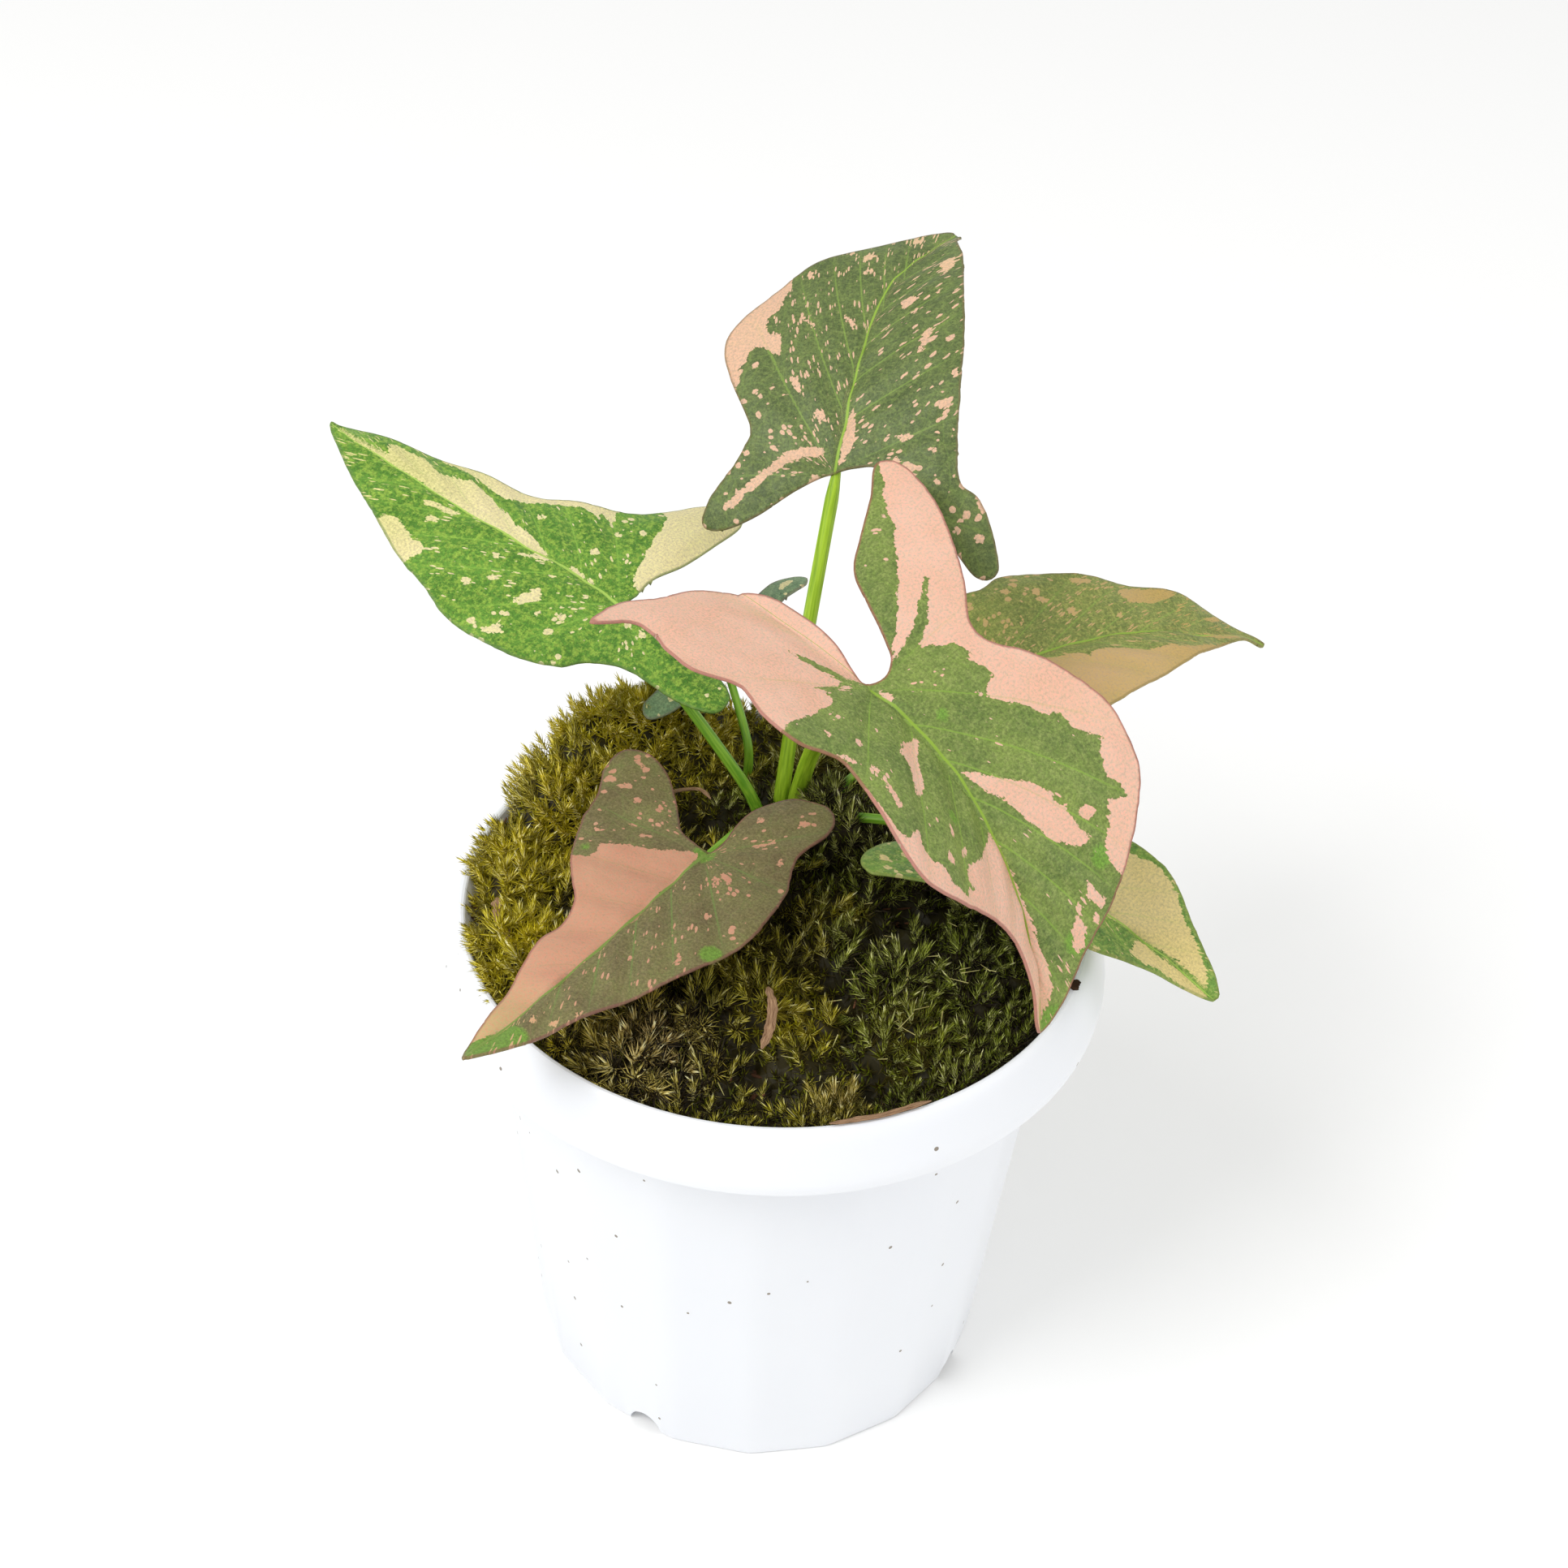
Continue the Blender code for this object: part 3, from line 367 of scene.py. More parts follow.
def mat_drop(x, y):
    """Depth of the mat's surface under the tips of the shoots: deeper between tufts and in the
    gaps, shallower along the wall, where it then rolls off."""
    share = nearest_tuft(x, y)[1]
    lumps = 0.7 * noise.noise(Vector((x * 0.33, y * 0.33, 3.0))) + 0.35 * noise.noise(Vector((x, y, 9.0)))
    radius = math.hypot(x, y)
    rim_side = max(0.0, (radius - 46.0) / 11.0)
    roll_off = 0.20 * max(0.0, radius - 52.6) ** 2
    return (3.7 + 1.7 * share ** 2) * (1.0 - 0.40 * rim_side) + 4.6 * gap_depth(x, y) + lumps + roll_off


def mat_top(surface, x, y):
    """Height of the mat below a surface of shoot tips; along the wall it stays inside the thick collar."""
    top = surface - mat_drop(x, y)
    near_wall = min(1.0, max(0.0, (math.hypot(x, y) - 49.0) / 4.0))
    return top + max(0.0, MAT_SHELF - top) * near_wall


def new_shoot(leaves, low_tilt, high_tilt, length, width, stem):
    """One leafy shoot: narrow keeled leaves, each a closed sliver, set in a spiral up a short stem
    and tilted out less and less. Returns its mesh and, for each vertex, 1 at a leaf's tip or else 0."""
    builder = bmesh.new()
    tips = []
    for index in range(leaves):
        share = (index + dice.uniform(-0.3, 0.3)) / (leaves - 1)
        size = length * dice.uniform(0.82, 1.12) * (1.0 - 0.30 * share)
        verts = bmesh.ops.create_cone(builder, cap_ends=True, segments=3, radius1=width, radius2=0.0,
                                      depth=size)["verts"]
        bmesh.ops.scale(builder, vec=(1.0, 0.42, 1.0), verts=verts)
        bmesh.ops.translate(builder, vec=(0.0, 0.0, size / 2.0), verts=verts)
        tips += [1.0 if vert.co.z > size * 0.5 else 0.0 for vert in verts]
        tilt = math.radians(low_tilt + (high_tilt - low_tilt) * share + dice.uniform(-9, 9))
        bmesh.ops.rotate(builder, cent=(0, 0, 0), matrix=Matrix.Rotation(tilt, 3, "X"), verts=verts)
        spiral = Matrix.Rotation(math.radians(137.5 * index + dice.uniform(-14, 14)), 3, "Z")
        bmesh.ops.rotate(builder, cent=(0, 0, 0), matrix=spiral, verts=verts)
        bmesh.ops.translate(builder, vec=(0.0, 0.0, stem * share), verts=verts)
    mesh = bpy.data.meshes.new("shoot")
    builder.to_mesh(mesh)
    builder.free()
    return mesh, tips


# Habits of shoot, three to five slightly different shoots of each: feathery, bristly and open
# star shoots on top, and short broad ones that fill the dark under them
SHOOT_HABITS = {
    "feathery": [new_shoot(22, 62, 8, 3.7, 0.35, 4.4) for _ in range(5)],
    "bristly": [new_shoot(18, 52, 6, 4.2, 0.30, 3.2) for _ in range(4)],
    "star": [new_shoot(21, 80, 12, 4.6, 0.38, 3.0) for _ in range(5)],
    "under": [new_shoot(11, 80, 20, 2.9, 0.42, 1.6) for _ in range(3)],
}


def set_field(mesh, name, values, kind="FLOAT"):
    """Stores one value, or one vector, per vertex for the materials to read."""
    field = mesh.attributes.new(name, kind, "POINT")
    field.data.foreach_set("value" if kind == "FLOAT" else "vector", np.asarray(values, np.float32).ravel())


def moss_finish(name, shade, tip_shade):
    """Living moss: wet needle leaves, dull and near black-brown where they join the stem, green on
    the blade and paler, drier yellow at the point. The dark feet are partly painted shade deep in
    the tufts, and the pale points partly painted light on the lit tips. Nearly matt, with a faint waxy glint."""
    material, shader, tree = new_finish(name, 0.62, 0.35)
    tip, tint, straw, lime, gloom = (add_node(tree, "Attribute", attribute_name=field).outputs["Fac"]
                                     for field in ("tip", "tint", "straw", "lime", "gloom"))
    spread = add_node(tree, "MapRange", {0: tint, 4: 0.75})
    blade = add_node(tree, "Mix", {0: spread, 6: linear(shade), 7: linear(tip_shade)}, data_type="RGBA")
    for tone, colour in ((lime, "#fff35c"), (straw, "#f8d994"), (gloom, "#8a9a34")):
        blade = add_node(tree, "Mix", {0: tone, 6: blade, 7: linear(colour)}, data_type="RGBA")
    # Pale points: drier tips, and painted light on the lit tips, brightest in the straw and lime patches
    dry = add_node(tree, "MapRange", {0: tint, 1: 0.35, 2: 0.95, 3: 0.25, 4: 0.9})
    dry_and_lit = add_node(tree, "Math", {0: straw, 1: 0.75, 2: dry}, operation="MULTIPLY_ADD")
    dry_and_lit = add_node(tree, "Math", {0: lime, 1: 0.35, 2: dry_and_lit}, operation="MULTIPLY_ADD", use_clamp=True)
    point = add_node(tree, "Mix", {0: dry_and_lit, 6: blade, 7: linear("#fffacb")}, data_type="RGBA")
    # Near black-brown feet: older stem, and painted shade deep in the tufts
    up = add_node(tree, "MapRange", {0: tip, 1: 0.04, 2: 0.42})
    # In the lime patches the feet are painted lighter: painted light where those tufts are brightly lit
    stem = add_node(tree, "Mix", {0: lime, 6: linear("#201607"), 7: linear("#a89a2a")}, data_type="RGBA")
    root = add_node(tree, "Mix", {0: up, 6: stem, 7: blade}, data_type="RGBA")
    end = add_node(tree, "MapRange", {0: tip, 1: 0.25, 2: 0.72})
    leaf = add_node(tree, "Mix", {0: end, 6: root, 7: point}, data_type="RGBA")
    place = add_node(tree, "TexCoord").outputs["Object"]
    # Colour drifts from stem to stem over about 5 mm
    drift = add_node(tree, "TexNoise", {"Vector": place, "Scale": 190.0, "Detail": 3.0})
    value = add_node(tree, "MapRange", {0: drift, 1: 0.3, 2: 0.7, 3: 0.72, 4: 1.30})
    drifted = add_node(tree, "HueSaturation", {"Color": leaf, "Saturation": 1.12, "Value": value})
    # Leaf edges are fringed with clear hairs, which give the tufts a soft bright outline
    fringe = add_node(tree, "MapRange", {0: tip, 1: 0.3, 2: 1.0, 3: 0.0, 4: 0.35})
    set_inputs(tree, shader, {"Base Color": drifted, "Sheen Weight": fringe, "Sheen Roughness": 0.45,
                              "Sheen Tint": linear("#f3eeb4")})
    return material


def plant_shoots(builder, spots, tips, fields):
    """Stands a shoot at each spot: (habit, x, y, z of its foot, lean direction, lean angle, size)."""
    for habit, x, y, z, lean, angle, size in spots:
        mesh, tip = dice.choice(SHOOT_HABITS[habit])
        axis = Vector((-lean.y, lean.x, 0.0))
        turn = Matrix.Rotation(angle, 4, axis) if axis.length > 1e-4 else Matrix.Identity(4)
        stand = (Matrix.Translation((x, y, z)) @ turn @ Matrix.Rotation(dice.uniform(0, math.tau), 4, "Z")
                 @ Matrix.Scale(size, 4))
        mesh.transform(stand)
        builder.from_mesh(mesh)
        mesh.transform(stand.inverted())
        tint = 0.0
        if habit != "under":
            own_tuft = 0.5 + 1.1 * noise.noise(Vector((x * 0.11, y * 0.11, 1.0)))
            tint = min(1.0, max(0.0, 0.45 * own_tuft + 0.65 * dice.random() ** 1.3))
        tones = [0.0, 0.0, 0.0]
        for tx, ty, radius, *amounts in MOSS_TONES:
            near = math.exp(-((x - tx) ** 2 + (y - ty) ** 2) / (radius * radius * 0.62))
            tones = [max(tone, near * amount) for tone, amount in zip(tones, amounts)]
        depth = 1.0
        # Under shoots are painted shade: their tips kept darker and gloomier than the upper shoots', less so in the
        # lime patches
        if habit == "under":
            tones[2] = max(tones[2], 0.8 * (1.0 - tones[1]))
            depth = 0.34 + 0.5 * min(1.0, tones[1])
        tips += [depth * value for value in tip]
        wander = dice.uniform(0.75, 1.15)
        fields += [[tint] + [min(1.0, tone * wander) for tone in tones]] * len(tip)


def store_moss_fields(mesh, base_count, tips, fields):
    """Gives the mat and its shoots their tip, tint and tone values. The mat gets the near black-brown foot colour
    all over: partly the dark base of the moss, partly painted shade in the gaps between the tufts.
    """
    # The mat's low tip value paints it the near black-brown of the shoot feet: painted shade between the tufts
    set_field(mesh, "tip", [0.05] * base_count + tips)
    table = np.array([[0.2, 0.0, 0.0, 0.6]] * base_count + fields)
    for column, name in enumerate(("tint", "straw", "lime", "gloom")):
        set_field(mesh, name, table[:, column])


def shoot_plan(spacing):
    """Jittered plan of shoot positions over the whole pot."""
    rows = int(120.0 / (spacing * 0.87))
    for row in range(rows):
        for column in range(int(120.0 / spacing)):
            x = -60.0 + (column + 0.5 * (row % 2)) * spacing + dice.uniform(-0.36, 0.36) * spacing
            y = -60.0 + row * spacing * 0.87 + dice.uniform(-0.36, 0.36) * spacing
            if math.hypot(x, y) < 58.2:
                yield x, y


def set_shoots(places, habits, height_at):
    """Lists the shoots for a cushion's places: upper ones that lean out from their tuft, smaller
    dark ones under them, and a flank of them down the side where the mat ends above the wall."""
    spots = []
    for layer, x, y in places:
        if dice.random() < 0.92 * gap_depth(x, y):
            continue
        lean, share = nearest_tuft(x, y)
        lean = lean.normalized()
        height = mat_top(height_at(x, y), x, y)
        radius = math.hypot(x, y)
        if radius > FOOT_REACH:
            x, y = x * FOOT_REACH / radius, y * FOOT_REACH / radius
        if radius > FLANK_START and layer == "upper":
            # The flank: shoots stand out sideways, one over the other, from the mat's edge
            outward = Vector((x, y)) / radius
            level = height
            while level > FLANK_FOOT:
                out_to = min(FLANK_REACH, 55.2 + (level - FLANK_FOOT) * 0.8)
                spots.append((dice.choice(habits), outward.x * out_to, outward.y * out_to, level - 0.6,
                              outward, math.radians(dice.uniform(40, 70)), dice.uniform(0.65, 0.9)))
                level -= FLANK_STEP
        crease = max(0.0, 1.0 - (dome_rise(x, y) + DOME_SINK) / 1.3)
        if layer == "under":
            spots.append(("under", x, y, height - 0.6, lean, math.radians(dice.uniform(0, 40)),
                          dice.uniform(0.8, 1.1)))
            continue
        if share > 0.93 and dice.random() < 0.45 or dice.random() < 0.5 * crease:
            continue
        angle = math.radians(8.0 + 46.0 * share + dice.uniform(-10, 10))
        if radius > 51.0 and height < 107.0:
            angle *= 0.35
        size = dice.uniform(0.82, 1.12) * (1.06 - 0.14 * share) * (1.0 - 0.2 * crease)
        habit = dice.choice(habits)
        if (Vector((x, y)) - TAN_DOME).length < TAN_REACH:
            habit, size = "star", size * 1.12
        for lift in (0.0, dice.uniform(-0.5, 0.4)):
            spots.append((habit, x, y, height - 0.4 + lift, lean, angle + 0.1 * lift, size))
    return spots


dark_moss = moss_finish("living_moss_dark", "#8fa233", "#d3da6c")
green_moss = moss_finish("living_moss_olive", "#c9c03e", "#f2e66a")
yellow_moss = moss_finish("living_moss_yellow", "#ecd940", "#fbf07c")
# Node, slot, first and last bearing from the stems in degrees, bulge, finish, habits of shoot
CUSHIONS = [
    ("moss_right", "moss_dark", -42, 30, 1.2, dark_moss, ["bristly", "bristly", "feathery"]),
    ("moss_back_right", "moss_dark", 30, 88, 0.6, dark_moss, ["bristly", "star"]),
    ("moss_back", "moss_green", 88, 142, 1.6, green_moss, ["feathery", "feathery", "star"]),
    ("moss_left", "moss_yellow", 142, 201, 1.8, yellow_moss, ["feathery", "feathery", "star"]),
    ("moss_front_left", "moss_yellow", 201, 248, 1.6, yellow_moss, ["feathery", "star"]),
    ("moss_front", "moss_green", 248, 283, 1.0, green_moss, ["feathery", "star", "bristly"]),
    ("moss_front_right", "moss_dark", 283, 318, 1.4, dark_moss, ["bristly", "feathery"]),
]
all_places = [("upper", x, y) for x, y in shoot_plan(UPPER_SPACING)]
all_places += [("under", x, y) for x, y in shoot_plan(UNDER_SPACING)]
for node, slot_name, first, last, bulge, finish, habits in CUSHIONS:
    # The mat: a grid wrapped over the cushion's sector, with its underside drawn in clear of the wall
    builder = bmesh.new()
    bmesh.ops.create_grid(builder, x_segments=34, y_segments=38, size=0.5)
    for vert in builder.verts:
        across, out = vert.co.x + 0.5, vert.co.y + 0.5
        bearing = math.radians(first + (last - first) * across)
        reach = CLEARING - 0.8 + (reach_to_wall(bearing) - CLEARING + 0.8) * out
        x, y = CROWN.x + reach * math.cos(bearing), CROWN.y + reach * math.sin(bearing)
        vert.co = (x, y, mat_top(cushion_height(across, out, x, y, bulge), x, y) - 0.8 * out ** 12)
    bmesh.ops.recalc_face_normals(builder, faces=builder.faces)
    if sum(face.normal.z for face in builder.faces) < 0.0:
        bmesh.ops.reverse_faces(builder, faces=builder.faces)
    top_count = len(builder.verts)
    bmesh.ops.solidify(builder, geom=builder.faces[:], thickness=4.0)
    for vert in builder.verts[top_count:]:
        inward = min(1.0, 54.6 / max(math.hypot(vert.co.x, vert.co.y), 1.0))
        vert.co = (vert.co.x * inward, vert.co.y * inward, max(vert.co.z, MAT_BOTTOM))
    bmesh.ops.recalc_face_normals(builder, faces=builder.faces)
    base_count = len(builder.verts)
    own = []
    for layer, x, y in all_places:
        offset = Vector((x, y)) - CROWN
        across = ((math.degrees(math.atan2(offset.y, offset.x)) - first) % 360.0) / (last - first)
        if across <= 1.0 and offset.length >= CLEARING:
            own.append((layer, x, y))

    def height_at(x, y, first=first, last=last, bulge=bulge):
        offset = Vector((x, y)) - CROWN
        bearing = math.degrees(math.atan2(offset.y, offset.x))
        out = min(1.0, (offset.length - CLEARING) / (reach_to_wall(math.radians(bearing)) - CLEARING))
        return cushion_height(((bearing - first) % 360.0) / (last - first), out, x, y, bulge)

    tips, fields = [], []
    plant_shoots(builder, set_shoots(own, habits, height_at), tips, fields)
    cushion = add_piece(node + "_shoots", builder, [finish])
    store_moss_fields(cushion.data, base_count, tips, fields)
    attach(cushion, "root")
    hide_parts(node)


# Moss between the stems: the same moss pressed in round the leaf stalks, so that no bare
# ring is left where the cushions meet the two crowns.
def collar_height(x, y):
    """Height of the shoot tips between the stems."""
    return carpet_height(x, y) - 1.2 + max(0.0, dome_rise(x, y))


collar_builder = bmesh.new()
bmesh.ops.create_circle(collar_builder, cap_ends=True, segments=48, radius=CLEARING + 1.1)
bmesh.ops.translate(collar_builder, vec=(CROWN.x, CROWN.y, 0.0), verts=collar_builder.verts)
for step in range(-15, 16):
    for point, normal in (((CROWN.x + step, 0, 0), (1, 0, 0)), ((0, CROWN.y + step, 0), (0, 1, 0))):
        whole = collar_builder.verts[:] + collar_builder.edges[:] + collar_builder.faces[:]
        bmesh.ops.bisect_plane(collar_builder, geom=whole, dist=0.01, plane_co=point, plane_no=normal)
for vert in collar_builder.verts:
    x, y = vert.co.x, vert.co.y
    vert.co.z = carpet_height(x, y) - 1.0 + max(0.0, dome_rise(x, y)) - mat_drop(x, y)
bmesh.ops.triangulate(collar_builder, faces=collar_builder.faces)
bmesh.ops.solidify(collar_builder, geom=collar_builder.faces[:], thickness=3.0)
bmesh.ops.recalc_face_normals(collar_builder, faces=collar_builder.faces)
base_count = len(collar_builder.verts)
own = [(layer, x, y) for layer, x, y in all_places if (Vector((x, y)) - CROWN).length < CLEARING]
tips, fields = [], []
plant_shoots(collar_builder, set_shoots(own, ["feathery", "bristly"], collar_height), tips, fields)
collar = add_piece("moss_between_stems", collar_builder, [dark_moss])
store_moss_fields(collar.data, base_count, tips, fields)
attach(collar, "root")


# Leaves: each arrow-shaped blade is a thin sheet, variegated where cells lost their green, held
# by its stalk at the notch between two lobes. The first section below says how a flat blade
# with its pale patches becomes a bent, veined sheet; each leaf then brings its own values.
BLADE_THICKNESS = 0.5
BLADE_CELL = 0.85
MARGIN_STEP = 0.9
LIME = "#6f9a35"


def leaf_axes(leaf):
    """Across, along and up directions of a blade at its notch."""
    heading, pitch, roll = (math.radians(leaf[key]) for key in ("heading", "pitch", "roll"))
    along = Vector((math.cos(heading) * math.cos(pitch), math.sin(heading) * math.cos(pitch), math.sin(pitch)))
    level = Vector((-math.cos(heading) * math.sin(pitch), -math.sin(heading) * math.sin(pitch), math.cos(pitch)))
    side = along.cross(level)
    return side * math.cos(roll) + level * math.sin(roll), along, level * math.cos(roll) - side * math.sin(roll)


def blade_point(leaf, axes, s, t):
    """A point of the flat blade, s from the midrib and t along it, on the bent and folded leaf."""
    share = min(max(t / leaf["length"], 0.0), 1.0)
    bend = math.radians(leaf["droop"] if t >= 0.0 else 2.0 * leaf["lobe_droop"]) / leaf["length"]
    bend = bend if abs(bend) > 1e-6 else 1e-6
    turn = bend * t
    run, drop = math.sin(turn) / bend, -(1.0 - math.cos(turn)) / bend
    half = 0 if s >= 0.0 else 1
    fold = math.radians(leaf["fold"][half] + leaf["fold_gain"][half] * share)
    curl = math.radians(leaf["curl"]) / leaf["half_width"]
    curl = curl if abs(curl) > 1e-6 else 1e-6
    slope = fold - curl * abs(s)
    wide = math.copysign((math.sin(fold) - math.sin(slope)) / curl, s) + leaf["sweep"] * share * share
    lift = (math.cos(slope) - math.cos(fold)) / curl
    across, along, up = axes
    return (Vector(leaf["junction"]) + across * wide + along * (run + lift * math.sin(turn))
            + up * (drop + lift * math.cos(turn)))


def curve_between(before, start, end, after, u):
    """Point of a smooth curve from start to end, with the points before and after it."""
    return 0.5 * (2.0 * start + (end - before) * u + (2.0 * before - 5.0 * start + 4.0 * end - after) * u * u
                  + (3.0 * start - before - 3.0 * end + after) * u ** 3)


def smooth_outline(leaf, step):
    """Closed margin on a smooth curve through the leaf's points, about every step."""
    corners = [leaf["sinus"]] + leaf["right"] + [leaf["tip"]] + [(-s, t) for s, t in reversed(leaf["left"])]
    count = len(corners)
    outline = []
    for index in range(count):
        four = [Vector(corners[(index + k - 1) % count]) for k in range(4)]
        pieces = max(1, round((four[2] - four[1]).length / step))
        outline += [curve_between(*four, piece / pieces) for piece in range(pieces)]
    return outline


def depth_inside(places, polygon):
    """Distance from each place to a closed outline, above zero inside it."""
    x, y = places[:, 0], places[:, 1]
    start = np.array(polygon, float)
    distance = np.full(len(places), 1e9)
    inside = np.zeros(len(places), bool)
    for (ax, ay), (bx, by) in zip(start, np.roll(start, -1, axis=0)):
        dx, dy = bx - ax, by - ay
        share = np.clip(((x - ax) * dx + (y - ay) * dy) / max(dx * dx + dy * dy, 1e-9), 0, 1)
        distance = np.minimum(distance, np.hypot(x - ax - share * dx, y - ay - share * dy))
        edge = ax + (y - ay) * dx / (dy if abs(dy) > 1e-12 else 1e-12)
        inside ^= ((ay > y) != (by > y)) & (x < edge)
    return np.where(inside, distance, -distance)


PATCH_REACH = 4.0


def patch_depth(places, patches):
    """Greatest depth inside any of the patches: outlines, or spots given as (s, t, radius)."""
    depth = np.full(len(places), -PATCH_REACH)
    for patch in patches:
        if isinstance(patch, tuple):
            s, t, radius = patch
            inside = radius - np.hypot(places[:, 0] - s, places[:, 1] - t)
        else:
            inside = depth_inside(places, patch)
        depth = np.maximum(depth, inside)
    return np.clip(depth, -PATCH_REACH, PATCH_REACH)


def vein_line(places, leaf):
    """Which side vein a place is at, as a count that is whole on each vein, and place along it.
    Veins leave the midrib steeper towards the tip, and fan round the notch into the lobes."""
    s, t = places[:, 0], places[:, 1]
    a = np.abs(s)
    rise = np.where(s >= 0, leaf["vein_rise"][0], leaf["vein_rise"][1])
    above = (t - rise * a) / (1.0 + 0.022 * a)
    below = -(np.arctan(rise) - np.arctan2(t, np.maximum(a, 1e-3))) * 12.0
    v = np.where(above >= 0, above, below)
    right, left = (np.interp(v, veins, np.arange(len(veins))) for veins in leaf["veins"])
    u = np.where(above >= 0, a * np.hypot(1.0, rise), np.hypot(a, t))
    return np.where(s >= 0, right, left), v, u


def blade_finish(name, look, under=False):
    """A living aroid leaf: waxy cuticle over a soft blade, so a broad satin sheen. Green cells
    show olive to bluish green, cells without green show the cream or pink of the flesh, with ragged
    edges and flecks that follow the veins; veins are translucent and yellow-green."""
    material, shader, tree = new_finish(name, 0.5, 0.32)
    flat, grain = (add_node(tree, "Attribute", attribute_name=field).outputs["Vector"]
                   for field in ("flat_place", "vein_grain"))
    pale, lime, rib, rim, count, gap = (add_node(tree, "Attribute", attribute_name=field).outputs["Fac"]
                                        for field in ("pale", "lime", "rib", "rim", "vein_count", "vein_gap"))
    # Noises laid flat on the blade or along its veins (grain), with their cells per millimetre
    clouds = {}
    for use, field, across, along, detail, rough in (
            ("tear", grain, 0.8, 0.32, 3.0, 0.6), ("teeth", flat, 1.9, 1.9, 2.0, 0.5),
            ("crowd", flat, 0.11, 0.11, 1.0, 0.5), ("drift", flat, 0.10, 0.10, 3.0, 0.5),
            ("mottle", flat, 0.75, 0.75, 5.0, 0.75), ("blush", flat, 0.09, 0.09, 2.0, 0.5),
            ("grit", flat, 1.9, 1.9, 3.0, 0.8), ("skin", flat, 1.9, 1.9, 3.0, 0.75),
            ("bend", flat, 0.9, 0.9, 2.0, 0.5), ("gloss", flat, 0.5, 0.5, 3.0, 0.5),
            ("cells", flat, 2.4, 2.4, 2.0, 0.5)):
        place = add_node(tree, "VectorMath", {0: field, 1: (across, along, 1.0)}, operation="MULTIPLY")
        clouds[use] = add_node(tree, "TexNoise", {"Vector": place, "Scale": 1.0, "Detail": detail,
                                                  "Roughness": rough})
    # Patch edges are torn along the veins: steps of about 1.2 mm by 3 mm, and fine 0.5 mm teeth
    tear = add_node(tree, "Math", {0: clouds["tear"], 1: 2.4, 2: -1.2}, operation="MULTIPLY_ADD")
    teeth = add_node(tree, "Math", {0: clouds["teeth"], 1: 0.9, 2: -0.45}, operation="MULTIPLY_ADD")
    torn = add_node(tree, "Math", {0: pale, 1: tear}, operation="ADD")
    torn = add_node(tree, "Math", {0: torn, 1: teeth}, operation="ADD")
    mask = add_node(tree, "MapRange", {0: torn, 1: -0.09, 2: 0.09}, interpolation_type="SMOOTHSTEP")
    # Flecks: cells of 1.5 by 3 mm and of 0.8 by 1.4 mm along the veins, a few of which hold a pale fleck
    wobble = add_node(tree, "VectorMath", {0: clouds["bend"].outputs["Color"], 1: (0.5, 0.5, 0.0)},
                      operation="MULTIPLY")
    flecks = []
    for across, along, widest, shift in ((0.66, 0.34, 0.50, -0.51), (1.25, 0.70, 0.52, -0.45 + look["dots"])):
        place = add_node(tree, "VectorMath", {0: grain, 1: (across, along, 1.0)}, operation="MULTIPLY")
        place = add_node(tree, "VectorMath", {0: place, 1: wobble}, operation="ADD")
        cell = add_node(tree, "TexVoronoi", {"Vector": place, "Scale": 1.0})
        chance = add_node(tree, "SeparateColor", {0: cell.outputs["Color"]})
        chance = add_node(tree, "Math", {0: chance, 1: shift}, operation="ADD")
        luck = add_node(tree, "Math", {0: clouds["crowd"], 1: 0.9, 2: chance}, operation="MULTIPLY_ADD")
        reach = add_node(tree, "MapRange", {0: luck, 1: 1.0 - look["flecks"], 2: 1.30 - look["flecks"], 4: widest})
        depth = add_node(tree, "Math", {0: reach, 1: cell.outputs["Distance"]}, operation="SUBTRACT")
        flecks.append(add_node(tree, "MapRange", {0: depth, 1: -0.02, 2: 0.05}, interpolation_type="SMOOTHSTEP"))
    flecks = add_node(tree, "Math", {0: flecks[0], 1: flecks[1]}, operation="MAXIMUM")
    mask = add_node(tree, "Math", {0: mask, 1: flecks}, operation="MAXIMUM")
    # Green flesh: broad drifts of about 10 mm, a mottle of about 1 mm, and lime patches on some leaves
    drift = add_node(tree, "MapRange", {0: clouds["drift"], 1: 0.32, 2: 0.68})
    mottle = add_node(tree, "MapRange", {0: clouds["mottle"], 1: 0.47, 2: 0.57})
    mottle = add_node(tree, "Math", {0: mottle, 1: look["mottle"]}, operation="MULTIPLY")
    lime = add_node(tree, "Math", {0: lime, 1: teeth}, operation="ADD")
    lime = add_node(tree, "MapRange", {0: lime, 1: -0.3, 2: 0.5})
    lime = add_node(tree, "Math", {0: lime, 1: 0.8}, operation="MULTIPLY")
    green = linear(look["green"][0])
    for share, colour in ((drift, look["green"][1]), (mottle, look["green"][2]), (lime, LIME)):
        green = add_node(tree, "Mix", {0: share, 6: green, 7: linear(colour)}, data_type="RGBA")
    # Pale flesh: drifts of 11 mm, another tone towards the tip, and the 0.5 mm grain of empty cells
    length_way = add_node(tree, "SeparateXYZ", {0: flat}).outputs[1]
    blush = add_node(tree, "MapRange", {0: clouds["blush"], 1: 0.3, 2: 0.7})
    tipwards = add_node(tree, "MapRange", {0: length_way, 1: look["tip_from"], 2: look["tip_from"] + 14.0, 4: 0.8})
    grit = add_node(tree, "MapRange", {0: clouds["grit"], 1: 0.40, 2: 0.60})
    grit = add_node(tree, "Math", {0: grit, 1: 0.75}, operation="MULTIPLY")
    cream = linear(look["pale"][0])
    for share, colour in zip((blush, tipwards, grit), look["pale"][1:]):
        cream = add_node(tree, "Mix", {0: share, 6: cream, 7: linear(colour)}, data_type="RGBA")
    blade = add_node(tree, "Mix", {0: mask, 6: green, 7: cream}, data_type="RGBA")
